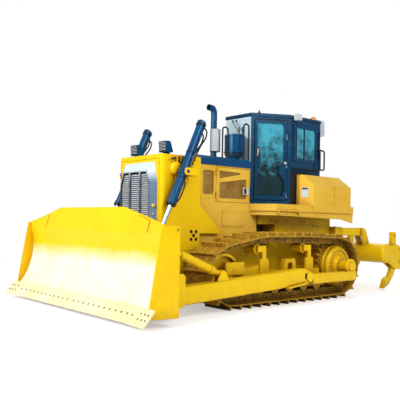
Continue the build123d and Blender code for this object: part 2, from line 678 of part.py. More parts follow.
def make_engine_door():
    """Left engine door, hinged at its front edge, with two windows and a latch."""
    low, high = HOOD_HALF - SIDE_PANEL, HOOD_HALF
    door = box((DOOR_REAR, DOOR_FRONT), (low, high), (DOOR_BOTTOM, DOOR_TOP))
    door -= window_cut(UPPER_WINDOW, 12) + window_cut(LOWER_WINDOW, 25)
    latch = box((DOOR_REAR + 30, DOOR_REAR + 165), (high - 1, high + 6), (1780, 1910))
    latch += box((DOOR_REAR + 95, DOOR_REAR + 140), (high + 6, high + 16), (1800, 1890))
    door += latch
    for v in ENGINE_HINGES:
        door += door_hinge(ENGINE_PLANE, 0, v, 1)
    return door


def make_door_mesh():
    """Perforated sheet behind the door's two windows."""
    inner = HOOD_HALF - SIDE_PANEL - SEAT
    return box((DOOR_REAR + 45, DOOR_FRONT - 45), (inner - MESH, inner), (DOOR_BOTTOM + 35, DOOR_TOP - 30))


def make_exhaust():
    """Exhaust riser with the elbow that faces forward, through the muffler's box."""
    path = FilletPolyline((EXHAUST_X, 0, HOOD_TOP + SEAT), (EXHAUST_X, 0, EXHAUST_TOP),
                          (EXHAUST_X + 130, 0, EXHAUST_TOP), radius=85)
    section = Circle(EXHAUST_RADIUS)
    pipe = sweep(Plane(origin=path @ 0, z_dir=path % 0) * section, path)
    pipe -= rod((EXHAUST_X + 20, 0, EXHAUST_TOP), (EXHAUST_X + 131, 0, EXHAUST_TOP), EXHAUST_RADIUS - 6)
    x, y = MUFFLER_PLACE
    corner = MUFFLER_HALF / cos(radians(22.5))
    plan = [(x + corner * cos(radians(turn)), y + corner * sin(radians(turn))) for turn in OCTAGON]
    muffler = level_plate(plan, *MUFFLER_Z)
    muffler = fillet(muffler.edges().filter_by(Axis.Z), 20)
    return pipe + chamfer(muffler.edges().group_by(Axis.Z)[-1], 14)


EXHAUST_TOP = 3292
MUFFLER_Z = (2530, 2930)


def make_exhaust_shield():
    """Bent heat shield on the muffler's front left."""
    near = MUFFLER_HALF + SEAT
    section = [(-45, near), (45, near), (70, near - 18), (74, near - 12), (49, near + 8), (-49, near + 8),
               (-74, near - 12), (-70, near - 18)]
    x, y = MUFFLER_PLACE
    turn = sqrt(0.5)
    plan = [(x + turn * (out - along), y + turn * (out + along)) for along, out in section]
    return level_plate(plan, MUFFLER_Z[0] + 10, MUFFLER_Z[1] - 10)


EXHAUST_X = 2000
MUFFLER_PLACE = (EXHAUST_X - 20, 20)
MUFFLER_HALF = 88            # from its axis to a flat
OCTAGON = [22.5 + 45 * index for index in range(8)]
EXHAUST_RADIUS = 55


def make_precleaner():
    """Air intake: neck, flange, and the bowl with its lid."""
    x, y = PRECLEANER_PLACE
    profile = [(0, HOOD_TOP + SEAT), (95, HOOD_TOP + SEAT), (95, 2440), (150, 2455), (172, 2490), (172, 2520),
               (190, 2530), (190, 2552), (178, 2562), (178, 2815), (184, 2820), (184, 2838), (120, 2862), (0, 2866)]
    face = make_face(Polyline(*[(x + r, y, z) for r, z in profile], close=True))
    return revolve(face, axis=Axis((x, y, 0), (0, 0, 1)))


PRECLEANER_PLACE = (1625, 140)


def make_lamps():
    """Two front lamps: hood with a sloping back, slat guard and a wedge foot."""
    lamps = []
    base = GUARD_TOP - GUARD_RIM + SEAT
    for y in (-LAMP_Y, LAMP_Y):
        low, high = y - 88, y + 88
        hood = side_plate([(3270, base + 55), (3415, base + 55), (3425, base + 225), (3330, base + 225)], low, high)
        hood = chamfer(hood.edges().filter_by(Axis.Y).group_by(Axis.X)[0], 12)
        hood -= box((3350, 3430), (low + 10, high - 10), (base + 67, base + 213))
        for z in (base + 98, base + 136, base + 174):
            hood += box((3396, 3410), (low + 5, high - 5), (z, z + 9))
        foot = side_plate([(3290, base), (3400, base), (3370, base + 56), (3310, base + 56)], y - 45, y + 45)
        lamps.append(hood + foot)
    return lamps


LAMP_Y = 379


def make_lamp_lenses():
    """Round lenses behind the guards."""
    base = GUARD_TOP - GUARD_RIM + SEAT
    return [rod((3350 + SEAT, y, base + 140), (3372, y, base + 140), 62) for y in (-LAMP_Y, LAMP_Y)]


# ---------------------------------------------------------------- platform, tank
FENDER_TOP = 1640
FENDER_OUT = 950


def make_fenders():
    """Left fender: deck with its slanted front, step band, lower skirt and gussets."""
    inner, foot = HOOD_HALF + SEAT, FENDER_TOP - 24
    plan = [(FENDER_REAR, HULL_HALF), (HOOD_REAR, HULL_HALF), (HOOD_REAR, inner), (FENDER_FRONT_IN, inner),
            (FENDER_FRONT, FENDER_OUT), (FENDER_REAR, FENDER_OUT)]
    deck = level_plate(plan, foot - 1, FENDER_TOP - SEAT)
    band = [(FENDER_REAR, 1500), (FENDER_FRONT, 1520), (FENDER_FRONT, FENDER_TOP - SEAT), (FENDER_REAR, FENDER_TOP - SEAT)]
    deck += side_plate(band, FENDER_OUT - 15, FENDER_OUT)
    deck += slanted_front(0, 1520, FENDER_TOP - SEAT)
    skirt = [(FENDER_REAR, 1335), (-450, 1400), (FENDER_FRONT - 25, 1446), (FENDER_FRONT - 25, 1525), (FENDER_REAR, 1505)]
    deck += side_plate(skirt, FENDER_OUT - 45, FENDER_OUT - 15) + slanted_front(25, 1446, 1525)
    for x in (-560, 130, 610, 1240):
        gusset = [(FENDER_OUT - 44, 1440), (FENDER_OUT - 44, foot), (HULL_HALF, foot), (HULL_HALF, FENDER_TOP - 90)]
        deck += front_plate(gusset, x, x + 16)
    rail = [(810, 1462), (840, 1462), (850, 1510), (1360, 1520), (1370, 1480), (1400, 1480), (1390, 1545), (830, 1535)]
    return deck + side_plate(rail, FENDER_OUT - 1, FENDER_OUT + 22)


def slanted_front(back, z_low, z_high):
    """Upright plate along the fender's front edge, moved back by some millimetres."""
    plan = [(FENDER_FRONT_IN - back, HOOD_HALF + SEAT), (FENDER_FRONT - back, FENDER_OUT - back),
            (FENDER_FRONT - back - 16, FENDER_OUT - back), (FENDER_FRONT_IN - back - 16, HOOD_HALF + SEAT)]
    return level_plate(plan, z_low, z_high)


FENDER_REAR = -800
FENDER_FRONT = 1410          # at its outer edge
FENDER_FRONT_IN = 1610       # against the engine's side


def make_platform():
    """Floor structure on the rear case, under the cab and the tank."""
    return box((HULL_REAR, CAB_FRONT_X), (-HULL_HALF, HULL_HALF), (CASE_TOP, FENDER_TOP))


def make_tank():
    """Fuel tank round the back of the cab: facetted plan, bevelled top and sloping rear."""
    inner = CAB_MIDDLE_HALF + 20
    tank = level_plate([(TANK_REAR, -TANK_HALF), (TANK_SIDE, -TANK_HALF), (TANK_FRONT, -TANK_FACET), (TANK_FRONT, TANK_FACET),
                        (TANK_SIDE, TANK_HALF), (TANK_REAR, TANK_HALF)], FENDER_TOP, TANK_TOP)
    slope = [(TANK_REAR - 1, 1990), (-520, TANK_TOP + 1), (TANK_REAR - 1, TANK_TOP + 1)]
    tank -= side_plate(slope, -TANK_HALF - 1, TANK_HALF + 1)
    bevel = [(TANK_HALF + 1, 2000), (TANK_HALF - 160, TANK_TOP + 1), (TANK_HALF + 1, TANK_TOP + 1)]
    tank -= both(front_plate(bevel, TANK_REAR - 1, TANK_FRONT + 1))
    tank -= box((CAB_REAR_X - 10, TANK_FRONT + 1), (-inner, inner), (FENDER_TOP - 1, TANK_TOP + 1))
    seam = box((-180, -172), (-TANK_HALF - 1, TANK_HALF + 1), (FENDER_TOP - 1, TANK_TOP + 1))
    seam -= box((-181, -171), (-TANK_HALF + 6, TANK_HALF - 6), (FENDER_TOP - 2, TANK_TOP - 6))
    tank += both(box((TANK_REAR, TANK_SIDE), (FENDER_OUT + SEAT, TANK_HALF), (1515, FENDER_TOP + 1)))
    cap = rod((-420, -430, TANK_TOP - 1), (-420, -430, TANK_TOP + 45), 75)
    return tank - seam + cap


TANK_REAR = -694
TANK_FRONT = 570
TANK_HALF = 960               # outside the fender's band, which its side covers
TANK_SIDE = 437              # front end of its sides
TANK_FACET = 750
TANK_TOP = 2190


# ---------------------------------------------------------------- cab
CAB_PLAN = [(CAB_REAR_X, -CAB_REAR_HALF), (CAB_MIDDLE_X, -CAB_MIDDLE_HALF), (CAB_FRONT_X, -CAB_FRONT_HALF),
            (CAB_FRONT_X, CAB_FRONT_HALF), (CAB_MIDDLE_X, CAB_MIDDLE_HALF), (CAB_REAR_X, CAB_REAR_HALF)]


LEFT_DOOR_PLANE = wall_plane(CAB_PLAN[3], CAB_PLAN[4], CAB_FLOOR)
DOOR_SPAN = hypot(CAB_FRONT_X - CAB_MIDDLE_X, CAB_FRONT_HALF - CAB_MIDDLE_HALF)
HINGE_STILE = 50
FRONT_STILE = 60
DOOR_SILL = 70
DOOR_LINTEL = 30
DOOR_GAP = 6


DOOR_U = (FRONT_STILE + DOOR_GAP, DOOR_SPAN - HINGE_STILE - DOOR_GAP)
DOOR_V = (DOOR_SILL + DOOR_GAP, CAB_HEIGHT - DOOR_LINTEL - DOOR_GAP)
CAB_HINGE_U = DOOR_SPAN - HINGE_STILE - DOOR_GAP / 2
CAB_HINGES = (170, 700, 1210)


def make_cab_frame():
    """Cab: pillars, walls and raised window frames, cut for the windows and the two doors."""
    shell = level_plate(CAB_PLAN, CAB_FLOOR, CAB_TOP)
    shell -= level_plate(mitred_outline(CAB_PLAN, -CAB_WALL), CAB_FLOOR + 20, CAB_TOP + 1)
    door = on_wall(LEFT_DOOR_PLANE, (DOOR_U[0] - DOOR_GAP, DOOR_U[1] + DOOR_GAP),
                   (DOOR_V[0] - DOOR_GAP, DOOR_V[1] + DOOR_GAP), (-CAB_WALL - 60, 30))
    shell -= both(door)
    frame = on_wall(SIDE_PLANE, (SIDE_U[0] - 75, SIDE_U[1] + 60), (SIDE_V[0] - 55, SIDE_V[1] + 60), (-1, 14), 40)
    shell += both(frame)
    shell -= both(on_wall(SIDE_PLANE, SIDE_U, SIDE_V, (-CAB_WALL - 60, 30), 40))
    shell += both(on_wall(SIDE_PLANE, (SIDE_BAR - SIDE_BAR_HALF, SIDE_BAR + SIDE_BAR_HALF), SIDE_V, (-CAB_WALL, 10)))
    shell -= on_wall(FRONT_PLANE, FRONT_U, FRONT_V, (-CAB_WALL - 60, 30), 40)
    shell -= on_wall(REAR_PLANE, REAR_U, REAR_V, (-CAB_WALL - 60, 30), 50)
    for v in CAB_HINGES:
        shell += both(fixed_hinge(LEFT_DOOR_PLANE, CAB_HINGE_U, v, -1))
    return shell


SIDE_PLANE = wall_plane(CAB_PLAN[4], CAB_PLAN[5], CAB_FLOOR)
FRONT_PLANE = wall_plane(CAB_PLAN[2], CAB_PLAN[3], CAB_FLOOR)
REAR_PLANE = wall_plane(CAB_PLAN[5], CAB_PLAN[0], CAB_FLOOR)
SIDE_U = (150, 725)          # openings of the side, front and rear windows on their walls
SIDE_V = (840, CAB_HEIGHT - 145)
SIDE_BAR = 398
SIDE_BAR_HALF = 12
FRONT_U = (40, 2 * CAB_FRONT_HALF - 40)
FRONT_V = (330, CAB_HEIGHT - 50)
REAR_U = (90, 2 * CAB_REAR_HALF - 90)
REAR_V = (670, CAB_HEIGHT - 150)
PANE_LAP = 15                # how far a pane reaches past its opening


def make_roof():
    """Roof cap over a set-back gutter line, with its raised middle."""
    roof = level_plate(mitred_outline(CAB_PLAN, ROOF_OVERHANG), CAB_TOP + GUTTER, ROOF_TOP - 8)
    roof = chamfer_top(roof, 12)
    roof += level_plate(mitred_outline(CAB_PLAN, -6), CAB_TOP, CAB_TOP + GUTTER + 1)
    return roof + chamfer_top(level_plate(mitred_outline(CAB_PLAN, -110), ROOF_TOP - 9, ROOF_TOP), 6)


GUTTER = 12


def chamfer_top(shape, size):
    return chamfer(shape.faces().sort_by(Axis.Z)[-1].edges(), size)


def make_roof_unit():
    """Air-conditioning unit on the cab's rear left, under the roof."""
    top = ROOF_TOP + 25
    unit = box((CAB_REAR_X - 240, CAB_REAR_X - SEAT), (240, 560), (top - 300, top))
    unit = fillet(unit.edges().filter_by(Axis.Y).group_by(Axis.X)[0], 45)
    unit -= box((CAB_REAR_X - ROOF_OVERHANG - 5, CAB_REAR_X), (239, 561), (CAB_TOP - 1, top + 1))
    for z in range(top - 260, top - 60, 32):
        unit -= box((CAB_REAR_X - 200, CAB_REAR_X - 60), (553, 561), (z, z + 14))
    return unit


def pane(plane, u, v):
    """A pane behind an opening, on the inner face of its wall."""
    return on_wall(plane, (u[0] - PANE_LAP, u[1] + PANE_LAP), (v[0] - PANE_LAP, v[1] + PANE_LAP),
                   (-CAB_WALL - GLASS, -CAB_WALL))


def make_cab_glass():
    """Windscreen bonded over the front wall, rear window, and the side windows' two halves."""
    windscreen = on_wall(FRONT_PLANE, (4, 2 * CAB_FRONT_HALF - 4), (FRONT_V[0] - PANE_LAP, CAB_HEIGHT - 4),
                         (SEAT, SEAT + GLASS))
    v = (SIDE_V[0] + SEAT, SIDE_V[1] - SEAT)
    halves = [on_wall(SIDE_PLANE, u, v, (-4 - GLASS, -4), 46)
              for u in ((SIDE_U[0] + SEAT, SIDE_BAR - SIDE_BAR_HALF - SEAT),
                        (SIDE_BAR + SIDE_BAR_HALF + SEAT, SIDE_U[1] - SEAT))]
    return solids_of(windscreen, pane(REAR_PLANE, REAR_U, REAR_V), *[both(half) for half in halves])


def make_cab_door():
    """Left door on the angled wall: its window steps in for the handle and the lock."""
    door = on_wall(LEFT_DOOR_PLANE, DOOR_U, DOOR_V, (-CAB_WALL, 0))
    door += on_wall(LEFT_DOOR_PLANE, (DOOR_U[0] + 8, DOOR_U[1] - 30), (DOOR_V[0] + 8, DOOR_V[1] - 8), (-1, 8), 20)
    u_low, u_high = DOOR_U[0] + STILE, DOOR_U[1] - STILE
    window = on_wall(LEFT_DOOR_PLANE, (u_low, u_high), (DOOR_V[0] + 85, DOOR_V[1] - STILE), (-CAB_WALL - 1, 12), 45)
    lock = [(u_high - 105, 560), (u_high - 105, 700), (u_high + 1, 800), (u_high + 1, 430)]
    handle = [(u_low - 1, 640), (u_low + 62, 700), (u_low + 62, 900), (u_low - 1, 960)]
    for outline in (lock, handle):
        face = make_face(Polyline(*[(u, v, -CAB_WALL - 2) for u, v in outline], close=True))
        window -= LEFT_DOOR_PLANE.location * extrude(face, amount=CAB_WALL + 20, dir=(0, 0, 1))
    door -= window
    grip = on_wall(LEFT_DOOR_PLANE, (u_low - 8, u_low + 14), (720, 880), (7, 30))
    door += chamfer(grip.edges(), 6)
    for v in CAB_HINGES:
        door += door_hinge(LEFT_DOOR_PLANE, CAB_HINGE_U, v, -1)
    return door


STILE = 55                   # width of the door's frame


def make_cab_door_glass():
    u_low, u_high = DOOR_U[0] + STILE, DOOR_U[1] - STILE
    return pane(LEFT_DOOR_PLANE, (u_low, u_high), (DOOR_V[0] + 85, DOOR_V[1] - STILE))


def make_seat():
    """Seat pan, backrest, head rest and the two arm rests."""
    cushion = box((190, 680), (-245, 245), (1960, 2075))
    cushion = fillet(cushion.edges().filter_by(Axis.Y) + cushion.edges().filter_by(Axis.X), 35)
    back = side_plate([(200, 2040), (290, 2040), (170, 2620), (90, 2620)], -225, 225)
    back = fillet(back.edges().filter_by(Axis.Y), 30)
    head = side_plate([(165, 2600), (98, 2600), (78, 2800), (140, 2800)], -130, 130)
    head = fillet(head.edges().filter_by(Axis.Y), 25)
    seat = cushion + back + head
    for side in (-1, 1):
        low, high = sorted((side * 225, side * 300))
        rest = box((215, 560), (low, high), (2215, 2265))
        post = box((210, 262), (low, high), (2150, 2220))
        seat += fillet(rest.edges().filter_by(Axis.Y), 20) + post
    return seat


def make_levers():
    """Side consoles with their levers, and the steering column stub with its knobs."""
    levers = []
    for side in (-1, 1):
        low, high = sorted((side * 315, side * 460))
        pod = chamfer_top(box((330, 800), (low, high), (CAB_FLOOR + 20 + SEAT, 2190)), 25)
        middle = side * 388
        pod += rod((700, middle, 2189), (735, middle, 2330), 11) + rod((729, middle, 2306), (747, middle, 2378), 24)
        pod += rod((560, middle, 2189), (570, middle, 2270), 9) + rod((568, middle, 2255), (573, middle, 2295), 18)
        levers.append(pod)
    return levers


def make_console():
    """Seat base and the dashboard with its leaning face."""
    base = box((240, 620), (-200, 200), (CAB_FLOOR + 20 + SEAT, 1960 - SEAT))
    dash = side_plate([(1190, CAB_FLOOR + 20 + SEAT), (1310, CAB_FLOOR + 20 + SEAT), (1330, 2290), (1250, 2310),
                       (1170, 2190)], -220, 220)
    return solids_of(base, fillet(dash.edges().filter_by(Axis.Y).group_by(Axis.Z)[-1], 20))


def make_cab_rail():
    """Black rail round the cab's left rear, with its ends turned in to the wall."""
    rail = FilletPolyline((690, 659 + SEAT, 2300), (690, 722, 2300), (60, 716, 2300), (-200, 700, 2330), (-200, 700, 2675),
                          (-70, 703, 2690), (-70, 642.5, 2690), radius=28)
    bar = sweep(Plane(origin=rail @ 0, z_dir=rail % 0) * Circle(15), rail)
    return bar + rod((-70, 703, 2690), (-70, 708, 2315), 12)


def make_beacon():
    """Round beacon on its short foot, at the roof's left rear."""
    x, y = CAB_REAR_X + 65, 520
    profile = [(0, ROOF_TOP - 8 + SEAT), (45, ROOF_TOP - 8 + SEAT), (45, ROOF_TOP + 5), (55, ROOF_TOP + 8),
               (50, ROOF_TOP + 52), (30, ROOF_TOP + 72), (0, ROOF_TOP + 76)]
    face = make_face(Polyline(*[(x + r, y, z) for r, z in profile], close=True))
    return revolve(face, axis=Axis((x, y, 0), (0, 0, 1)))


def make_work_lamps():
    """White work lamps on the roof's sides, behind the left and right middle pillars."""
    lamps = []
    x, z = CAB_MIDDLE_X - 130, CAB_TOP + 30
    taper = (CAB_MIDDLE_HALF - CAB_REAR_HALF) / (CAB_MIDDLE_X - CAB_REAR_X)
    face = CAB_MIDDLE_HALF + (x - CAB_MIDDLE_X) * taper + ROOF_OVERHANG + SEAT
    for side in (-1, 1):
        low, high = sorted((side * (face + 12), side * (face + 102)))
        lamp = fillet(box((x - 58, x + 58), (low, high), (z - 58, z + 58)).edges().filter_by(Axis.X), 20)
        lamps.append(lamp + rod((x, side * face, z), (x, side * (face + 20), z), 16))
    return lamps


# ---------------------------------------------------------------- blade
FOOT_X = 4720                # lower front corner of the moldboard
FOOT_Z = 150
EDGE_LEAN = 48               # of the cutting edge, degrees from level
EDGE_BELOW = 130             # how far the cutting edge reaches past the moldboard
EDGE_ABOVE = 130
EDGE_THICKNESS = 28
FOLD_Y = 1400                # where the wings begin
WING_FORWARD = 50
END_PLATE = 20
BLADE_BACK = 3990
BOX_TOP = 640
BOX_BOTTOM = 200


def edge_point(along, out):
    """A point beside the moldboard's foot: along its slope upwards, and out in front."""
    rise, run = sin(radians(EDGE_LEAN)), cos(radians(EDGE_LEAN))
    return (FOOT_X - run * along + rise * out, FOOT_Z + rise * along + run * out)


CURVE_POINTS = (edge_point(EDGE_ABOVE, 0), (FOOT_X - 310, 740), (FOOT_X - 280, 1150))
TOP_LEAN = 20                # how far the top edge leans forward of the arc's end


def moldboard_face(y, top):
    """Section of the moldboard: straight foot, arc and upright top."""
    heel, mid, high = CURVE_POINTS
    points = [edge_point(0, 0), heel, mid, high, (high[0] + TOP_LEAN, top)]
    lines = []
    for shift in (0, -MOLDBOARD):
        foot, heel3, mid3, high3, top3 = [(x + shift, y, z) for x, z in points]
        lines += [Line(foot, heel3), ThreePointArc(heel3, mid3, high3), Line(high3, top3)]
    lines += [Line(lines[0] @ 0, lines[3] @ 0), Line(lines[2] @ 1, lines[5] @ 1)]
    return make_face(lines)


def make_blade():
    """Moldboard in three panels with its end plates."""
    blade = extrude(moldboard_face(-FOLD_Y, BLADE_TOP), amount=2 * FOLD_Y, dir=(0, 1, 0))
    for side in (-1, 1):
        reach = Vector(WING_FORWARD, side * (BLADE_HALF - END_PLATE - FOLD_Y), 0)
        blade += extrude(moldboard_face(side * FOLD_Y, BLADE_TOP), amount=reach.length, dir=reach)
        corner = [(side * SHOULDER_Y, BLADE_TOP), (side * BLADE_HALF, WING_TOP), (side * BLADE_HALF, BLADE_TOP + 1),
                  (side * SHOULDER_Y, BLADE_TOP + 1)]
        blade -= front_plate(corner, FOOT_X - 420, FOOT_X + 80)
        low, high = sorted((side * BLADE_HALF, side * (BLADE_HALF - END_PLATE)))
        plate = side_plate(END_OUTLINE, low, high)
        blade += fillet(plate.edges().filter_by(Axis.Y).group_by(Axis.Z)[-1], 40)
    blade -= both(make_end_bit())
    return blade - cross_pin(*LIFT_HOLE, -BLADE_HALF - 1, BLADE_HALF + 1, LIFT_HOLE_RADIUS)


END_OUTLINE = [(4260, 110), (4740, 130), (4543, WING_TOP), (4260, WING_TOP)]
SHOULDER_Y = 883             # where the top edge starts to slope down


def circle_through(first, second, third):
    """Centre and radius of the circle through three points in X and Z."""
    ax, az = second[0] - first[0], second[1] - first[1]
    bx, bz = third[0] - first[0], third[1] - first[1]
    double_area = 2 * (ax * bz - az * bx)
    a_square, b_square = ax * ax + az * az, bx * bx + bz * bz
    x = (bz * a_square - az * b_square) / double_area
    z = (ax * b_square - bx * a_square) / double_area
    return (first[0] + x, first[1] + z), hypot(x, z)


def moldboard_back(z):
    """X of the moldboard's rear face at a height."""
    foot, (heel, _, high) = edge_point(0, 0), CURVE_POINTS
    if z <= heel[1]:
        return foot[0] + (heel[0] - foot[0]) * (z - foot[1]) / (heel[1] - foot[1]) - MOLDBOARD
    if z >= high[1]:
        return high[0] + TOP_LEAN * (z - high[1]) / (BLADE_TOP - high[1]) - MOLDBOARD
    centre, radius = circle_through(*CURVE_POINTS)
    return centre[0] - sqrt(radius * radius - (z - centre[1]) ** 2) - MOLDBOARD


def against_moldboard(low, high):
    """Points up the moldboard's rear face, close enough for chords to stay behind its arc."""
    heel = CURVE_POINTS[0][1]
    heights = [low + (high - low) * index / BACK_STEPS for index in range(BACK_STEPS + 1)]
    if low < heel < high:
        heights = sorted(heights + [heel])
    return [(moldboard_back(z) - SEAT, z) for z in heights]


def make_blade_back():
    """Box beam along the moldboard's foot, the upper stiffener and the upright ribs."""
    section = against_moldboard(BOX_BOTTOM, BOX_TOP) + [(BLADE_BACK, BOX_TOP), (BLADE_BACK, BOX_BOTTOM)]
    beam = side_plate(section, -BACK_HALF, BACK_HALF)
    beam = chamfer(beam.edges().filter_by(Axis.Y).group_by(Axis.X)[0], 40)
    low, high = STIFFENER_Z
    top = against_moldboard(low, high) + [(STIFFENER_X, high), (STIFFENER_X, low)]
    beam += side_plate(top, -SHOULDER_Y, SHOULDER_Y)
    rib = against_moldboard(BOX_TOP - 1, low + 1) + [(STIFFENER_X, low + 1), (STIFFENER_X - 120, BOX_TOP - 1)]
    for y in (-RIB_OUT, -RIB_IN, RIB_IN - RIB, RIB_OUT - RIB):
        beam += side_plate(rib, y, y + RIB)
    return beam


def make_blade_lugs():
    """Lugs of the lift cylinders and of the left brace, seated on the box beam."""
    lugs = []
    lift = [(BLADE_BACK + 20, BOX_TOP + SEAT), (BLADE_BACK + 190, BOX_TOP + SEAT), (BLADE_BACK + 140, 840),
            (LUG_X + 40, LUG_Z + LUG_RADIUS), (LUG_X - 50, LUG_Z + 56), (LUG_X - LUG_RADIUS, LUG_Z),
            (LUG_X - 50, LUG_Z - 56), (LUG_X, LUG_Z - LUG_RADIUS)]
    for y in (LIFT_Y - 65, LIFT_Y + 35):
        lugs.append(side_plate(lift, y, y + 30))
    brace = against_moldboard(800, 1060)
    brace += [(BRACE_FRONT[0] - 15, BRACE_FRONT[1] + 62), (BRACE_FRONT[0] - 60, BRACE_FRONT[1] + 20),
              (BRACE_FRONT[0] - 60, BRACE_FRONT[1] - 20), (BRACE_FRONT[0] - 15, BRACE_FRONT[1] - 62)]
    for y in (BRACE_Y - BRACE_EYE - SEAT - 25, BRACE_Y + BRACE_EYE + SEAT):
        lugs.append(side_plate(brace, y, y + 25))
    return lugs


BACK_HALF = BLADE_HALF - 200
STIFFENER_Z = (1130, 1230)   # stiffener along the back
STIFFENER_X = BLADE_BACK + 325
BACK_STEPS = 20
RIB = 20
RIB_IN = 250                 # outer faces of the upright ribs, from the middle
RIB_OUT = 600


BIT_OUTER = 1960
LIFT_HOLE = (4300, 1215)     # in the end plates
LIFT_HOLE_RADIUS = 20


def make_cutting_edge():
    """Cutting edge between two end bits, bolted on the moldboard's foot."""
    outline = [edge_point(-EDGE_BELOW, 0), edge_point(EDGE_ABOVE, 0), edge_point(EDGE_ABOVE, EDGE_THICKNESS),
               edge_point(-EDGE_BELOW + 30, EDGE_THICKNESS)]
    return side_plate(outline, -FOLD_Y, FOLD_Y)


def make_end_bit():
    """Left end bit on the wing's foot."""
    outline = [edge_point(-EDGE_BELOW, 0), edge_point(EDGE_ABOVE, 0), edge_point(EDGE_ABOVE, EDGE_THICKNESS),
               edge_point(-EDGE_BELOW + 30, EDGE_THICKNESS)]
    span = BIT_OUTER - FOLD_Y
    shift = WING_FORWARD * span / (BLADE_HALF - END_PLATE - FOLD_Y)
    return prism([(x, FOLD_Y, z) for x, z in outline], (shift, span, 0))


def make_push_arm():
    """Left push arm, from the eye on its trunnion to the blade, with the brace's lugs."""
    profile = [(TRUNNION_X, TRUNNION_Z - EYE_RADIUS), (1360, 368), (1966, 298), (BLADE_BACK - SEAT, 193),
               (BLADE_BACK - SEAT, 440), (1966, 544), (1360, 593), (TRUNNION_X, TRUNNION_Z + EYE_RADIUS)]
    arm = side_plate(profile, ARM_IN, ARM_OUT)
    arm = chamfer(arm.edges().filter_by(Axis.Y, reverse=True).group_by(Axis.Y)[-1], 12)
    arm += cross_pin(TRUNNION_X, TRUNNION_Z, ARM_IN, ARM_OUT, EYE_RADIUS)
    step = [(1345, 352), (1345, 372), (1800, 320), (1800, 300)]
    arm += side_plate(step, ARM_OUT - 120, ARM_OUT + 58)
    lug = [(BRACE_REAR[0] - 130, 440), (BRACE_REAR[0] + 130, 430), (BRACE_REAR[0] + 55, BRACE_REAR[1] + 30),
           (BRACE_REAR[0] + 25, BRACE_REAR[1] + 58), (BRACE_REAR[0] - 25, BRACE_REAR[1] + 58),
           (BRACE_REAR[0] - 55, BRACE_REAR[1] + 30)]
    for y in (BRACE_Y - BRACE_EYE - SEAT - 25, BRACE_Y + BRACE_EYE + SEAT):
        arm += side_plate(lug, y, y + 25)
    return arm - cross_pin(TRUNNION_X, TRUNNION_Z, ARM_IN - 1, ARM_OUT + 1, TRUNNION_RADIUS + RUNNING)


BRACE_Y = 1430
BRACE_REAR = (3145, 573)     # X and Z of the brace's pins
BRACE_FRONT = (4040, 930)
BRACE_EYE = 40               # half width of its eyes


def make_brace():
    """Left brace from the arm to the back of the blade: tube, screw ends and pins."""
    tilt = Vector(BRACE_FRONT[0] - BRACE_REAR[0], 0, BRACE_FRONT[1] - BRACE_REAR[1])
    unit = tilt.normalized()
    rear = Vector(BRACE_REAR[0], BRACE_Y, BRACE_REAR[1])
    brace = rod(rear + unit * 50, rear + unit * (tilt.length - 50), 38)
    tube = rod(rear + unit * 150, rear + unit * (tilt.length - 150), 58)
    brace += chamfer(tube.edges().filter_by(GeomType.CIRCLE), 12)
    brace += rod(rear + unit * 205, rear + unit * 240, 68)
    for end in (BRACE_REAR, BRACE_FRONT):
        brace += cross_pin(*end, BRACE_Y - BRACE_EYE, BRACE_Y + BRACE_EYE, 60)
    return brace


# ---------------------------------------------------------------- lift cylinders
LIFT_SPAN = hypot(LUG_X - LIFT_PIVOT_X, LUG_Z - LIFT_PIVOT_Z)
LIFT_DIR = ((LUG_X - LIFT_PIVOT_X) / LIFT_SPAN, (LUG_Z - LIFT_PIVOT_Z) / LIFT_SPAN)
BARREL_BELOW = 560
BARREL_ABOVE = 880


def along_lift(distance):
    """A point on the left lift cylinder's axis, counted down from its trunnion."""
    return (LIFT_PIVOT_X + LIFT_DIR[0] * distance, LIFT_Y, LIFT_PIVOT_Z + LIFT_DIR[1] * distance)


def make_lift_cylinder():
    """Left lift cylinder: barrel, end caps, trunnion band and the steel line along its back."""
    barrel = rod(along_lift(-BARREL_ABOVE), along_lift(BARREL_BELOW), LIFT_BARREL)
    cap = rod(along_lift(-BARREL_ABOVE - 8), along_lift(-BARREL_ABOVE + 45), LIFT_BARREL + 7)
    barrel += chamfer(cap.edges().filter_by(GeomType.CIRCLE).sort_by(Axis.Z)[-1], 16)
    barrel += rod(along_lift(BARREL_BELOW - 75), along_lift(BARREL_BELOW), LIFT_BARREL + 9)
    barrel += rod(along_lift(-48), along_lift(48), LIFT_BARREL + 10)
    line = LIFT_BARREL + 20
    barrel += rod(beside_lift(-BARREL_ABOVE + 25, line), beside_lift(BARREL_BELOW - 40, line), 9)
    for start in (-BARREL_ABOVE + 5, BARREL_BELOW - 70):
        barrel += rod(beside_lift(start, line - 8), beside_lift(start + 50, line - 8), 22)
    barrel -= rod(along_lift(-BARREL_ABOVE + 60), along_lift(BARREL_BELOW + 1), LIFT_ROD + RUNNING)
    for low, high in ((-125, -50), (50, 125)):
        barrel += cross_pin(LIFT_PIVOT_X, LIFT_PIVOT_Z, LIFT_Y + low, LIFT_Y + high, 28)
    return barrel


def beside_lift(distance, back):
    """A point behind the left lift cylinder's axis."""
    x, y, z = along_lift(distance)
    return (x + LIFT_DIR[1] * back, y, z - LIFT_DIR[0] * back)


def make_lift_rod():
    start = LIFT_SPAN - 1290
    shaft = rod(along_lift(start), along_lift(LIFT_SPAN - 30), LIFT_ROD)
    return shaft + cross_pin(LUG_X, LUG_Z, LIFT_Y - 30, LIFT_Y + 30, 60)


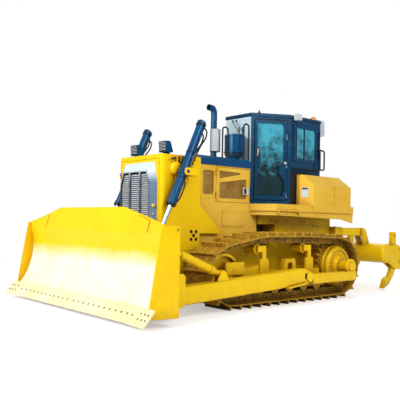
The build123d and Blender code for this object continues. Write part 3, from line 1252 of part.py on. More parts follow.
def make_cylinder_yoke():
    """Left yoke on the guard's side, round the cylinder's trunnion."""
    low, high = LIFT_PIVOT_Z - 58, LIFT_PIVOT_Z + 58
    rear, front = LIFT_PIVOT_X - 195, LIFT_PIVOT_X + 45
    yoke = box((rear, front), (GUARD_HALF + SEAT, LIFT_Y - 95), (low, high))
    yoke += box((rear, front), (GUARD_HALF + SEAT, GUARD_HALF + 25), (low - 70, high + 70))
    yoke += box((rear, rear + 30), (GUARD_HALF + SEAT, LIFT_Y + 125), (low, high))
    outer = box((rear, front), (LIFT_Y + 95, LIFT_Y + 125), (low, high))
    yoke += fillet(outer.edges().filter_by(Axis.Y).group_by(Axis.X)[-1], 40)
    return yoke - cross_pin(LIFT_PIVOT_X, LIFT_PIVOT_Z, LIFT_Y - 126, LIFT_Y + 126, 28 + RUNNING)


# ---------------------------------------------------------------- ripper
UPPER_PIN_Y = 550
LOWER_PIN_Y = 380
UPPER_REAR = (RIPPER_UPPER[0] - RIPPER_LINK, RIPPER_UPPER[1])
LOWER_REAR = (RIPPER_LOWER[0] - RIPPER_LINK, RIPPER_LOWER[1])


def make_ripper_bracket():
    """Bracket on the rear case: ears of the upper and lower links and of the cylinders."""
    bracket = box((HULL_REAR - 60, HULL_REAR), (-690, 690), (480, 1250))
    plates = []
    upper_ear = ear(RIPPER_UPPER, 90)
    lower_ear = ear(RIPPER_LOWER, 90)
    ram_ear = ear(CYLINDER_TOP, 75)
    rows = [
        (upper_ear, RIPPER_UPPER, UPPER_PIN_Y - 95, 30, PIN_RADIUS),
        (upper_ear, RIPPER_UPPER, UPPER_PIN_Y + 65, 30, PIN_RADIUS),
        (lower_ear, RIPPER_LOWER, LOWER_PIN_Y - 10, 40, PIN_RADIUS),
        (ram_ear, CYLINDER_TOP, RIPPER_CYLINDER_Y - 105, 30, 28),
        (ram_ear, CYLINDER_TOP, RIPPER_CYLINDER_Y + 75, 30, 28),
    ]
    for outline, pin, inner, thickness, bore in rows:
        plate = side_plate(outline, inner, inner + thickness)
        plate -= cross_pin(*pin, inner - 1, inner + thickness + 1, bore + RUNNING)
        bracket += both(plate)
    return bracket


def ear(pin, half):
    """Outline of an ear that stands back from the bracket to a pin."""
    face = HULL_REAR - 30
    return [(face, pin[1] - half * 1.3), (face, pin[1] + half * 1.2), (pin[0], pin[1] + half),
            (pin[0] - half * 0.8, pin[1]), (pin[0], pin[1] - half)]


def make_ripper_lower_link():
    """Lower link: two side bars joined by a cross tube."""
    link = None
    for side in (-1, 1):
        low, high = sorted((side * (LOWER_PIN_Y - 55), side * (LOWER_PIN_Y - 15)))
        bar = link_bar(RIPPER_LOWER, LOWER_REAR, low, high, 60, 50)
        link = bar if link is None else link + bar
    middle = ((RIPPER_LOWER[0] + LOWER_REAR[0]) / 2, RIPPER_LOWER[1])
    link += cross_pin(*middle, -LOWER_PIN_Y + 50, LOWER_PIN_Y - 50, 60)
    for point in (RIPPER_LOWER, LOWER_REAR):
        for side in (-1, 1):
            low, high = sorted((side * (LOWER_PIN_Y + 35), side * (LOWER_PIN_Y - 55)))
            link += cross_pin(*point, low, high, PIN_RADIUS)
    return link


def make_ripper_upper_link():
    """Left upper link with its two pins."""
    link = link_bar(RIPPER_UPPER, UPPER_REAR, UPPER_PIN_Y - 55, UPPER_PIN_Y + 55, 85, 80)
    for point in (RIPPER_UPPER, UPPER_REAR):
        link += cross_pin(*point, UPPER_PIN_Y - 100, UPPER_PIN_Y + 100, PIN_RADIUS)
    return link


def link_bar(front, rear, y_low, y_high, eye, half_height):
    """A straight bevelled bar with a round eye at each end."""
    bar = box((rear[0], front[0]), (y_low, y_high), (front[1] - half_height, front[1] + half_height))
    bar = chamfer(bar.edges().filter_by(Axis.X), min(12, (y_high - y_low) / 5))
    return bar + cross_pin(*front, y_low, y_high, eye) + cross_pin(*rear, y_low, y_high, eye)


def make_ripper_beam():
    """Round cross beam with the ears of the links and the shank pockets."""
    beam = cross_pin(RIPPER_BEAM_X, RIPPER_BEAM_Z, -RIPPER_BEAM_HALF, RIPPER_BEAM_HALF, RIPPER_BEAM_RADIUS)
    beam = chamfer(beam.edges().filter_by(GeomType.CIRCLE), 25)
    upper = [(UPPER_REAR[0] + 60, UPPER_REAR[1] - 60), (UPPER_REAR[0] + 60, UPPER_REAR[1] + 60),
             (UPPER_REAR[0] - 60, UPPER_REAR[1] + 60), (RIPPER_BEAM_X - 60, RIPPER_BEAM_Z + 150),
             (RIPPER_BEAM_X + 100, RIPPER_BEAM_Z)]
    lower = [(LOWER_REAR[0] + 60, LOWER_REAR[1] - 60), (LOWER_REAR[0] + 60, LOWER_REAR[1] + 60),
             (RIPPER_BEAM_X, RIPPER_BEAM_Z + 150), (RIPPER_BEAM_X, RIPPER_BEAM_Z - 150)]
    for side in (-1, 1):
        for inner in (UPPER_PIN_Y - 95, UPPER_PIN_Y + 65):
            low, high = sorted((side * inner, side * (inner + 30)))
            plate = side_plate(upper, low, high)
            beam += plate - cross_pin(*UPPER_REAR, low - 1, high + 1, PIN_RADIUS + RUNNING)
        low, high = sorted((side * (LOWER_PIN_Y - 10), side * (LOWER_PIN_Y + 30)))
        plate = side_plate(lower, low, high)
        beam += plate - cross_pin(*LOWER_REAR, low - 1, high + 1, PIN_RADIUS + RUNNING)
    lug = [(RIPPER_BEAM_X, RIPPER_BEAM_Z + 100), (CYLINDER_END[0], CYLINDER_END[1] + 55),
           (CYLINDER_END[0] + 55, CYLINDER_END[1]), (CYLINDER_END[0], CYLINDER_END[1] - 55),
           (RIPPER_BEAM_X, RIPPER_BEAM_Z - 60)]
    for inner in (RIPPER_CYLINDER_Y - 66, RIPPER_CYLINDER_Y + 41):
        beam += both(side_plate(lug, inner, inner + 25))
    for y in (-SHANK_Y, 0, SHANK_Y):
        for low in (y - SHANK_HALF - 40, y + SHANK_HALF + SEAT):
            beam += side_plate(POCKET, low, low + 40 - SEAT)
        for x, z in ((RIPPER_BEAM_X - 500, 560), (RIPPER_BEAM_X - 500, 830)):
            beam += cross_pin(x, z, y - SHANK_HALF - 70, y + SHANK_HALF + 70, 34)
    return beam


POCKET = [(RIPPER_BEAM_X, 890), (RIPPER_BEAM_X - 430, 905), (RIPPER_BEAM_X - 560, 820), (RIPPER_BEAM_X - 590, 700),
          (RIPPER_BEAM_X - 575, 440), (RIPPER_BEAM_X - 500, 395), (RIPPER_BEAM_X - 330, 410), (RIPPER_BEAM_X - 100, 540)]


SHANK_HOLE = (-2130, 1090)
SHANK_HOLE_RADIUS = 26


def make_shanks():
    """Three curved shanks, each with its tooth, bored for the pin near the top."""
    rear, front = SHANK_HOLE[0] - 72, SHANK_HOLE[0] + 70
    lines = [
        Line((rear, 0, SHANK_TOP - 25), (rear, 0, 560)),
        ThreePointArc((rear, 0, 560), (rear + 75, 0, 290), (rear + 320, 0, 105)),
        Line((rear + 320, 0, 105), (front + 235, 0, 185)),
        ThreePointArc((front + 235, 0, 185), (front + 70, 0, 325), (front, 0, 560)),
        Line((front, 0, 560), (front, 0, SHANK_TOP)),
        Line((front, 0, SHANK_TOP), (rear + 25, 0, SHANK_TOP)),
        Line((rear + 25, 0, SHANK_TOP), (rear, 0, SHANK_TOP - 25)),
    ]
    bar = extrude(Pos(0, -SHANK_HALF, 0) * make_face(lines), amount=2 * SHANK_HALF, dir=(0, 1, 0))
    tooth = [(rear + 205, 150), (front + 175, 262), (front + 260, 205), (TOOTH_TIP_X, SHANK_TIP_Z),
             (TOOTH_TIP_X - 25, SHANK_TIP_Z), (rear + 290, 92)]
    bar += side_plate(tooth, -SHANK_HALF - 9, SHANK_HALF + 9)
    bar -= cross_pin(*SHANK_HOLE, -SHANK_HALF - 1, SHANK_HALF + 1, SHANK_HOLE_RADIUS)
    return [Pos(0, y, 0) * bar for y in (-SHANK_Y, 0, SHANK_Y)]


SHANK_TOP = 1168
TOOTH_TIP_X = -1735


RIPPER_CYLINDER_Y = 200
CYLINDER_TOP = (-760, 940)
CYLINDER_END = (RIPPER_BEAM_X + 280, RIPPER_BEAM_Z + 80)


def make_ripper_cylinder():
    """Left ripper cylinder's barrel with its eye."""
    run = Vector(CYLINDER_END[0] - CYLINDER_TOP[0], 0, CYLINDER_END[1] - CYLINDER_TOP[1])
    top = Vector(CYLINDER_TOP[0], RIPPER_CYLINDER_Y, CYLINDER_TOP[1])
    unit = run.normalized()
    barrel = rod(top + unit * 40, top + unit * 480, 65)
    barrel += cross_pin(*CYLINDER_TOP, RIPPER_CYLINDER_Y - 40, RIPPER_CYLINDER_Y + 40, 60)
    barrel -= rod(top + unit * 100, top + unit * 481, 32 + RUNNING)
    return barrel + cross_pin(*CYLINDER_TOP, RIPPER_CYLINDER_Y - 110, RIPPER_CYLINDER_Y + 110, 28)


def make_ripper_rod():
    run = Vector(CYLINDER_END[0] - CYLINDER_TOP[0], 0, CYLINDER_END[1] - CYLINDER_TOP[1])
    top = Vector(CYLINDER_TOP[0], RIPPER_CYLINDER_Y, CYLINDER_TOP[1])
    unit = run.normalized()
    shaft = rod(top + unit * 300, top + unit * (run.length - 30), 32)
    return shaft + cross_pin(*CYLINDER_END, RIPPER_CYLINDER_Y - 35, RIPPER_CYLINDER_Y + 35, 50)


NODES = {}


def node(name, *shapes):
    NODES[name] = solids_of(*shapes)


def build_all():
    frame = make_track_frame()
    track = make_track()
    node("track_frames", frame, flipped(frame))
    node("track_left", track)
    node("track_right", flipped(track))
    sprocket = make_sprocket()
    node("sprockets", sprocket, flipped(sprocket))
    drive = make_final_drive()
    node("final_drives", drive, flipped(drive))
    idler = make_idler()
    node("idlers", idler, flipped(idler))
    rollers = make_rollers()
    node("rollers", *rollers, *[flipped(roller) for roller in rollers])
    node("main_frame", make_main_frame())
    node("engine", make_engine())
    node("radiator", make_radiator())
    node("radiator_guard", make_radiator_guard())
    node("grille_door", make_grille_door())
    node("grille_slats", *make_grille_slats())
    node("hood", make_hood())
    stripe = make_hood_stripe()
    node("hood_stripes", stripe, flipped(stripe))
    sides = solids_of(make_engine_sides(), make_side_mesh())
    node("engine_sides", sides, flipped(sides))
    door = solids_of(make_engine_door(), make_door_mesh())
    node("engine_door_left", door)
    node("engine_door_right", flipped(door))
    node("exhaust_stack", make_exhaust())
    node("exhaust_shield", make_exhaust_shield())
    node("air_precleaner", make_precleaner())
    node("lamps", *make_lamps())
    node("lamp_lenses", *make_lamp_lenses())
    fender = make_fenders()
    node("fenders", fender, flipped(fender))
    node("platform", make_platform())
    node("fuel_tank", make_tank())
    node("cab_frame", make_cab_frame())
    node("cab_roof", make_roof())
    node("cab_glass", make_cab_glass())
    cab_door = make_cab_door()
    node("cab_door_left", cab_door)
    node("cab_door_right", flipped(cab_door))
    pane = make_cab_door_glass()
    node("cab_door_glass_left", pane)
    node("cab_door_glass_right", flipped(pane))
    node("cab_seat", make_seat())
    node("grab_rails", make_cab_rail(), *make_hand_grips())
    node("cab_rear_unit", make_roof_unit())
    node("beacon", make_beacon())
    node("work_lamps", *make_work_lamps())
    node("cab_console", make_console(), *make_levers())
    node("blade", make_blade())
    node("blade_back", make_blade_back())
    lugs = make_blade_lugs()
    node("blade_lugs", *lugs, *[flipped(lug) for lug in lugs])
    bit = make_end_bit()
    node("cutting_edge", make_cutting_edge() + bit + flipped(bit))
    arm = make_push_arm()
    node("push_arms", arm, flipped(arm))
    brace = make_brace()
    node("blade_braces", brace, flipped(brace))
    barrel = make_lift_cylinder()
    node("lift_cylinder_left", barrel)
    node("lift_cylinder_right", flipped(barrel))
    shaft = make_lift_rod()
    node("lift_rod_left", shaft)
    node("lift_rod_right", flipped(shaft))
    yoke = make_cylinder_yoke()
    node("cylinder_yokes", yoke, flipped(yoke))
    node("ripper_bracket", make_ripper_bracket())
    node("ripper_lower_link", make_ripper_lower_link())
    upper = make_ripper_upper_link()
    node("ripper_upper_links", upper, flipped(upper))
    node("ripper_beam", make_ripper_beam())
    node("ripper_shanks", *make_shanks())
    ram = make_ripper_cylinder()
    node("ripper_cylinders", ram, flipped(ram))
    ram_rod = make_ripper_rod()
    node("ripper_rods", ram_rod, flipped(ram_rod))


build_all()
whole = Compound(list(NODES.values())).bounding_box()
ORIGIN_X = (whole.min.X + whole.max.X) / 2
for name, shape in NODES.items():
    export_step(Pos(-ORIGIN_X, 0, 0) * shape, f"parts/{name}.step")
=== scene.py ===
"""Looks of the crawler bulldozer: materials, small trim round the CAD nodes, seat pads, light and camera."""

import json
import math

import bmesh
import bpy
from mathutils import Matrix, Vector


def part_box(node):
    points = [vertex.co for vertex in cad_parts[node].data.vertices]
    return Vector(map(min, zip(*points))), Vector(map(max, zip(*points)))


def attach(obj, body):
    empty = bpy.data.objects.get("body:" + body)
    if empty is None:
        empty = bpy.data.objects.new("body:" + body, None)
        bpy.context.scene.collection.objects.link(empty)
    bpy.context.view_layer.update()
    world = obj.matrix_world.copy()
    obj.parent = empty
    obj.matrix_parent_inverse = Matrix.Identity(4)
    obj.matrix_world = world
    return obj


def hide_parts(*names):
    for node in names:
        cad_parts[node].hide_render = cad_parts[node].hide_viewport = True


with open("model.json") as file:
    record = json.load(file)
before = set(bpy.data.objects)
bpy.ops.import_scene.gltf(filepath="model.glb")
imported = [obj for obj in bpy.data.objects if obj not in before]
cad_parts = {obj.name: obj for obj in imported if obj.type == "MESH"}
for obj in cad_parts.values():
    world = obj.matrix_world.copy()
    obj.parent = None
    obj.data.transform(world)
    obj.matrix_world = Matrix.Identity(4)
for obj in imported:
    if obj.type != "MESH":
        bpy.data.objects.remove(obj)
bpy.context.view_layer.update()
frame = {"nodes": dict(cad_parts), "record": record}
NODES = frame["nodes"]

# Places are given from the sprockets' axle, as in the CAD model; the frame's origin is the machine's middle.
sprocket_low, sprocket_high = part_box("sprockets")
AXLE_X = (sprocket_low.x + sprocket_high.x) / 2
SIDES = ((1, "left"), (-1, "right"))


def at(x, y, z):
    """A point given from the sprocket axle, in metres."""
    return Vector((x + AXLE_X, y, z))


# ------------------------------------------------------------------ materials
class Graph:
    """Short calls for the nodes of a material or a world."""

    def __init__(self, owner):
        owner.use_nodes = True
        self.tree = owner.node_tree

    def add(self, kind, inputs=None, **settings):
        node = self.tree.nodes.new(kind)
        for key, value in settings.items():
            setattr(node, key, value)
        for key, value in (inputs or {}).items():
            self.put(node.inputs[key], value)
        return node

    def put(self, socket, value):
        if isinstance(value, bpy.types.NodeSocket):
            self.tree.links.new(value, socket)
        else:
            socket.default_value = value

    def place(self):
        return self.add("ShaderNodeTexCoord").outputs["Object"]

    def coordinate(self, axis):
        return self.add("ShaderNodeSeparateXYZ", {"Vector": self.place()}).outputs[axis]

    def noise(self, scale, detail=4.0, roughness=0.55):
        return self.add("ShaderNodeTexNoise", {
            "Vector": self.place(), "Scale": scale, "Detail": detail, "Roughness": roughness,
        }).outputs["Fac"]

    def mix(self, amount, first, second):
        """Colour between first and second; each is a colour or a socket."""
        node = self.add("ShaderNodeMix", data_type="RGBA")
        self.put(node.inputs[0], amount)
        self.put(node.inputs[6], first if isinstance(first, bpy.types.NodeSocket) else (*first, 1))
        self.put(node.inputs[7], second if isinstance(second, bpy.types.NodeSocket) else (*second, 1))
        return node.outputs[2]

    def level(self, value, from_low, from_high, to_low=0.0, to_high=1.0):
        return self.add("ShaderNodeMapRange", {
            "Value": value, "From Min": from_low, "From Max": from_high, "To Min": to_low, "To Max": to_high,
        }).outputs[0]

    def math(self, operation, first, second=0.0):
        return self.add("ShaderNodeMath", {0: first, 1: second}, operation=operation).outputs[0]

    def times(self, first, second):
        return self.math("MULTIPLY", first, second)

    def reverse(self, value):
        return self.math("SUBTRACT", 1.0, value)

    def edges(self, radius=0.012):
        """1 on outer and inner edges, 0 on open faces."""
        rounded = self.add("ShaderNodeBevel", {"Radius": radius}, samples=4).outputs[0]
        face = self.add("ShaderNodeNewGeometry").outputs["Normal"]
        same = self.add("ShaderNodeVectorMath", {0: rounded, 1: face}, operation="DOT_PRODUCT")
        return self.level(same.outputs["Value"], 0.995, 0.93)

    def recess(self, reach, low=0.25, high=0.85):
        """1 deep in corners and between parts, 0 on open faces: ambient occlusion, for painting shade there.
        """
        open_share = self.add("ShaderNodeAmbientOcclusion", {"Distance": reach}, samples=6).outputs["AO"]
        return self.level(open_share, low, high, 1.0, 0.0)

    def past(self, axis, limit, size=False):
        """1 where a coordinate, or its size, is beyond the limit; the change takes a millimetre."""
        value = self.coordinate(axis)
        if size:
            value = self.math("ABSOLUTE", value)
        return self.level(value, limit - 0.0005, limit + 0.0005)

    def roughen(self, shader, scale, detail, low, high):
        """Roughness that wanders between two values."""
        self.put(shader.inputs["Roughness"], self.level(self.noise(scale, detail), 0.3, 0.7, low, high))

    def grain(self, shader, scale, detail, strength, depth=0.002):
        """Fine bumps all over."""
        bump = self.add("ShaderNodeBump", {
            "Height": self.noise(scale, detail), "Strength": strength, "Distance": depth,
        })
        self.put(shader.inputs["Normal"], bump.outputs[0])


def new_material(name):
    """A material with one principled shader, and the graph for its nodes."""
    material = bpy.data.materials.new(name)
    g = Graph(material)
    g.tree.nodes.clear()
    output = g.add("ShaderNodeOutputMaterial")
    shader = g.add("ShaderNodeBsdfPrincipled")
    g.put(output.inputs[0], shader.outputs[0])
    return material, g, shader


def recoloured(source, name):
    """A copy of a material, with its graph, its shader and its colour so far."""
    material = source.copy()
    material.name = name
    g = Graph(material)
    shader = next(node for node in g.tree.nodes if node.type == "BSDF_PRINCIPLED")
    return material, g, shader, shader.inputs["Base Color"].links[0].from_socket


def paint(name, colour, shade, gleam, rough=0.34, coat=0.03, dust_and_sheen=None, dust_and_sheen_share=0.0, wear=None, recess_shade=None,
          seal=None):
    """Machine paint: slow colour drift, orange peel, patches strongest low down (dust, and on the paler paint
    a painted sky sheen), painted shade in recesses, worn edges.
    """
    material, g, shader = new_material(name)
    tint = g.mix(g.level(g.noise(1.7, 5.0), 0.35, 0.7), colour, shade)
    # Patches strongest low down: dust on the yellow paint, and with the paler paint's pale colour a painted
    # sky sheen.
    if dust_and_sheen:
        low_down = g.level(g.coordinate("Z"), 0.1, 1.5, 1.0, 0.12)
        patches = g.level(g.noise(6.0, 8.0, 0.65), 0.45, 0.72)
        tint = g.mix(g.times(g.times(patches, low_down), dust_and_sheen_share), tint, dust_and_sheen)
    # Painted shade: corners and gaps between parts darkened towards a brown shade colour by ambient
    # occlusion.
    if recess_shade:
        tint = g.mix(g.times(g.recess(0.45), 0.85), tint, recess_shade)
    if seal:
        tint = g.mix(g.times(g.edges(0.016), 0.9), tint, seal)
    if wear:
        broken = g.level(g.noise(38.0, 6.0, 0.7), 0.42, 0.6)
        tint = g.mix(g.times(g.edges(), broken), tint, wear)
    g.put(shader.inputs["Base Color"], tint)
    g.roughen(shader, 9.0, 6.0, rough - 0.06, rough + 0.1)
    shader.inputs["Specular IOR Level"].default_value = 0.35
    shader.inputs["Specular Tint"].default_value = (*gleam, 1)
    shader.inputs["Coat Weight"].default_value = coat
    shader.inputs["Coat Roughness"].default_value = 0.12
    g.grain(shader, 260.0, 2.0, 0.07)
    return material


def glass_material(name, pale, deep, front_glare):
    """Tinted pane with painted reflections: sky in its upper part, darker surroundings mirrored lower down;
    the windscreen pale with a painted reflection.
    """
    material, g, shader = new_material(name)
    # Painted reflection: mirrored sky above a ragged line, darker mirrored surroundings below it.
    line = g.math("ADD", g.coordinate("Z"), g.times(g.noise(6.5, 9.0, 0.68), 2.4))
    side_tint_and_reflection = g.mix(g.level(line, 3.45, 4.15), deep, pale)
    g.put(shader.inputs["Base Color"], g.mix(g.past("X", AXLE_X + 1.40), side_tint_and_reflection, front_glare))
    shader.inputs["Roughness"].default_value = 0.05
    shader.inputs["Alpha"].default_value = 0.82
    shader.inputs["IOR"].default_value = 1.5
    g.grain(shader, 1.5, 1.0, 0.05, 0.01)
    return material


def metal(name, colour, rough, scratches):
    """Bare bright metal with faint scratches."""
    material, g, shader = new_material(name)
    shade = tuple(c * 0.8 for c in colour)
    g.put(shader.inputs["Base Color"], g.mix(g.noise(14.0), colour, shade))
    shader.inputs["Metallic"].default_value = 1.0
    g.roughen(shader, 50.0, 6.0, rough, rough + scratches)
    g.grain(shader, 160.0, 3.0, 0.012, 0.001)
    return material


def plain(name, colour, rough, grain_scale=180.0, grain=0.15):
    """Plastic, rubber, cloth or cast metal with a fine grain."""
    material, g, shader = new_material(name)
    shade = tuple(c * 0.7 for c in colour)
    g.put(shader.inputs["Base Color"], g.mix(g.noise(5.0, 6.0), colour, shade))
    shader.inputs["Specular IOR Level"].default_value = 0.3
    g.roughen(shader, 20.0, 4.0, rough - 0.05, rough + 0.08)
    g.grain(shader, grain_scale, 3.0, grain)
    return material


def track_material():
    """Rusty yellow-brown track, with a painted highlight on its edges and painted shade between the links."""
    material, g, shader = new_material("track_steel")
    patches = g.level(g.noise(11.0, 9.0, 0.7), 0.4, 0.64)
    tint = g.mix(patches, (0.54, 0.30, 0.016), (0.20, 0.090, 0.006))
    fine = g.level(g.noise(60.0, 6.0, 0.7), 0.52, 0.66)
    tint = g.mix(g.times(fine, 0.5), tint, (0.55, 0.33, 0.04))
    # Painted shade: near black where the links close in on each other.
    tint = g.mix(g.times(g.recess(0.18, 0.2, 0.8), 0.9), tint, (0.04, 0.012, 0.002))
    # Painted highlight: edges brightened.
    tint = g.mix(g.times(g.edges(0.010), 0.8), tint, (0.78, 0.50, 0.06))
    g.put(shader.inputs["Base Color"], tint)
    shader.inputs["Metallic"].default_value = 0.2
    shader.inputs["Specular IOR Level"].default_value = 0.3
    g.roughen(shader, 30.0, 4.0, 0.45, 0.7)
    g.grain(shader, 90.0, 6.0, 0.35, 0.004)
    return material


def grille_door_material():
    """Yellow rim; the raised surround in front of it is blue-grey steel with a pale top and dark edges."""
    material, g, shader = new_material("grille_door")
    raised = g.past("X", AXLE_X + 3.5705)
    steel = g.mix(g.level(g.noise(1.4, 3.0), 0.3, 0.7), (0.16, 0.24, 0.34), (0.10, 0.16, 0.25))
    steel = g.mix(g.level(g.coordinate("Z"), 1.92, 2.10), steel, (0.60, 0.70, 0.78))
    steel = g.mix(g.times(g.edges(0.022), 0.95), steel, (0.012, 0.016, 0.022))
    rim = g.mix(g.level(g.noise(1.7, 5.0), 0.35, 0.7), (0.90, 0.62, 0.003), (0.84, 0.55, 0.003))
    g.put(shader.inputs["Base Color"], g.mix(raised, rim, steel))
    g.roughen(shader, 9.0, 6.0, 0.28, 0.42)
    shader.inputs["Specular IOR Level"].default_value = 0.3
    g.grain(shader, 260.0, 2.0, 0.07)
    return material


def slat_material():
    """Pale grille slats, with painted shade, near black, in the gaps between them."""
    material, g, shader = new_material("slat_steel")
    tint = g.mix(g.noise(14.0), (0.72, 0.76, 0.82), (0.58, 0.62, 0.68))
    # Painted shade in the gaps, from ambient occlusion.
    g.put(shader.inputs["Base Color"], g.mix(g.recess(0.035, 0.35, 0.75), tint, (0.008, 0.009, 0.010)))
    g.roughen(shader, 20.0, 4.0, 0.32, 0.45)
    g.grain(shader, 60.0, 3.0, 0.1)
    return material


def engine_side_material():
    """Paler sky-sheen paint, and behind the openings of the engine's sides a punched sheet in painted shade:
    a darker copy of the paint, its holes painted dark as the shade behind them.
    """
    material, g, shader, tint = recoloured(SKY_SHEEN_YELLOW, "engine_side_paint")
    sheet = g.reverse(g.past("Y", 0.4835, size=True))
    flat = g.add("ShaderNodeCombineXYZ", {"X": g.coordinate("X"), "Y": g.coordinate("Z")}).outputs[0]
    cells = g.add("ShaderNodeTexVoronoi", {"Vector": flat, "Scale": 95.0, "Randomness": 0.0})
    punched = g.level(cells.outputs["Distance"], 0.30, 0.36, 1.0, 0.0)
    # Painted shade: the recessed sheet as a darker copy of the paint.
    shade = g.mix(g.level(g.noise(5.0, 6.0), 0.4, 0.65), (0.46, 0.255, 0.05), (0.30, 0.15, 0.02))
    # Holes painted near black with the shade behind them.
    shade = g.mix(g.times(punched, 0.75), shade, (0.05, 0.028, 0.01))
    g.put(shader.inputs["Base Color"], g.mix(sheet, tint, shade))
    return material


def blade_material():
    """Yellow paint; the front's lower half, where it faces forward, is a painted highlight, pale as the glare
    of light on it.
    """
    material, g, shader, tint = recoloured(YELLOW, "blade_paint")
    normal = g.add("ShaderNodeNewGeometry").outputs["Normal"]
    facing = g.add("ShaderNodeSeparateXYZ", {"Vector": normal}).outputs["X"]
    # Painted highlight: lower and forward-facing parts of the front painted near white, with a ragged upper
    # edge.
    raggedness = g.times(g.math("SUBTRACT", g.noise(2.2, 8.0, 0.6), 0.5), 0.22)
    height = g.math("ADD", g.coordinate("Z"), raggedness)
    glare_mask = g.times(g.level(height, 0.93, 0.70), g.level(facing, 0.3, 0.6))
    between_ends = g.reverse(g.past("Y", 1.838, size=True))
    glare_variation = g.level(g.noise(3.0, 9.0, 0.7), 0.3, 0.62)
    pale = g.mix(glare_variation, (0.95, 0.92, 0.84), (0.93, 0.85, 0.62))
    share = g.times(g.times(glare_mask, between_ends), 0.92)
    g.put(shader.inputs["Base Color"], g.mix(share, tint, pale))
    return material


WORN_YELLOW = (0.55, 0.30, 0.03)
# Colour of the painted shade in corners and between parts.
RECESS_SHADE_YELLOW = (0.28, 0.085, 0.003)
BLUE_GLEAM = (0.4, 0.72, 1)
YELLOW = paint("yellow_paint", (0.92, 0.60, 0.002), (0.86, 0.53, 0.002), (1, 0.78, 0.2),
               dust_and_sheen=(0.50, 0.30, 0.07), dust_and_sheen_share=0.3, wear=WORN_YELLOW, recess_shade=RECESS_SHADE_YELLOW)
# Paler copy of the yellow for the tank, fenders and engine sides: a painted sky sheen.
SKY_SHEEN_YELLOW = paint("sky_sheen_paint", (0.84, 0.52, 0.060), (0.76, 0.43, 0.025), (1, 0.85, 0.45), rough=0.3,
              dust_and_sheen=(0.84, 0.58, 0.20), dust_and_sheen_share=0.6, wear=WORN_YELLOW, recess_shade=RECESS_SHADE_YELLOW)
BLUE = paint("blue_paint", (0.003, 0.060, 0.17), (0.003, 0.045, 0.12), BLUE_GLEAM, rough=0.22, coat=0.08)
CAB_BLUE = paint("cab_paint", (0.004, 0.052, 0.13), (0.004, 0.034, 0.08), BLUE_GLEAM, rough=0.22, coat=0.08,
                 seal=(0.003, 0.006, 0.012))
EDGE = paint("edge_paint", (0.93, 0.84, 0.58), (0.90, 0.72, 0.30), (1, 0.85, 0.5), rough=0.36,
             wear=(0.35, 0.30, 0.24))
FABRIC = plain("seat_fabric", (0.03, 0.032, 0.036), 0.85, 420.0, 0.5)
ENGINE_SIDE = engine_side_material()

SLOT_MATERIAL = {
    "yellow_paint": YELLOW,
    "blue_paint": BLUE,
    "edge_paint": EDGE,
    # Glass colours: painted reflections of sky and surroundings, and the windscreen's painted pale glare.
    "glass": glass_material("cab_glass", (0.07, 0.42, 0.56), (0.006, 0.030, 0.038), (0.62, 0.80, 0.90)),
    "chrome": metal("chrome", (0.66, 0.82, 0.95), 0.16, 0.06),
    "bright_steel": metal("bright_steel", (0.78, 0.80, 0.83), 0.32, 0.12),
    "track_steel": track_material(),
    "black_steel": plain("black_steel", (0.008, 0.011, 0.018), 0.36),
    "cast_iron": plain("cast_iron", (0.05, 0.05, 0.052), 0.6),
    "radiator_core": plain("radiator_core", (0.03, 0.03, 0.032), 0.6),
    "black_plastic": plain("black_plastic", (0.02, 0.02, 0.022), 0.5),
    "white_plastic": plain("white_plastic", (0.66, 0.70, 0.74), 0.35),
    "orange_plastic": plain("orange_plastic", (0.80, 0.30, 0.01), 0.25, 60.0, 0.1),
    "lens": plain("lens", (0.06, 0.075, 0.09), 0.12, 60.0, 0.2),
    "rubber": plain("rubber", (0.012, 0.012, 0.013), 0.6, 90.0, 0.3),
    "seat_fabric": FABRIC,
}
NODE_MATERIAL = {
    "fuel_tank": SKY_SHEEN_YELLOW,
    "fenders": SKY_SHEEN_YELLOW,
    "blade": blade_material(),
    "cab_frame": CAB_BLUE,
    "cab_roof": CAB_BLUE,
    "cab_door_left": CAB_BLUE,
    "cab_door_right": CAB_BLUE,
    "grille_door": grille_door_material(),
    "grille_slats": slat_material(),
    "engine_sides": ENGINE_SIDE,
    "engine_door_left": ENGINE_SIDE,
    "engine_door_right": ENGINE_SIDE,
}


def dress_nodes():
    """Each CAD node gets its own material, or else that of its slot."""
    for row in frame["record"]["subparts"]:
        node = NODES[row["node"]]
        node.data.materials.clear()
        node.data.materials.append(NODE_MATERIAL.get(row["node"]) or SLOT_MATERIAL[row["material_slot"]])


# ------------------------------------------------------------------ trim
def landing(node, start, direction):
    """Where a straight line from start first meets a CAD node, and the surface's normal there."""
    hit, place, normal, _ = NODES[node].ray_cast(at(*start), Vector(direction))
    if not hit:
        raise ValueError(f"nothing of {node} at {start}")
    return place - Vector((AXLE_X, 0, 0)), normal


def square_to(axis):
    """Two unit vectors square to an axis and to each other."""
    axis = Vector(axis).normalized()
    first = axis.cross(Vector((0, 0, 1)) if abs(axis.z) < 0.9 else Vector((1, 0, 0))).normalized()
    return first, axis.cross(first)


def corners(a_low, a_high, b_low, b_high):
    """The four corners of a rectangle."""
    return (a_low, b_low), (a_high, b_low), (a_high, b_high), (a_low, b_high)


def new_piece(name, shape):
    """An object in the scene, made from a mesh that was built up in code."""
    mesh = bpy.data.meshes.new(name)
    shape.to_mesh(mesh)
    shape.free()
    piece = bpy.data.objects.new(name, mesh)
    bpy.context.scene.collection.objects.link(piece)
    return piece


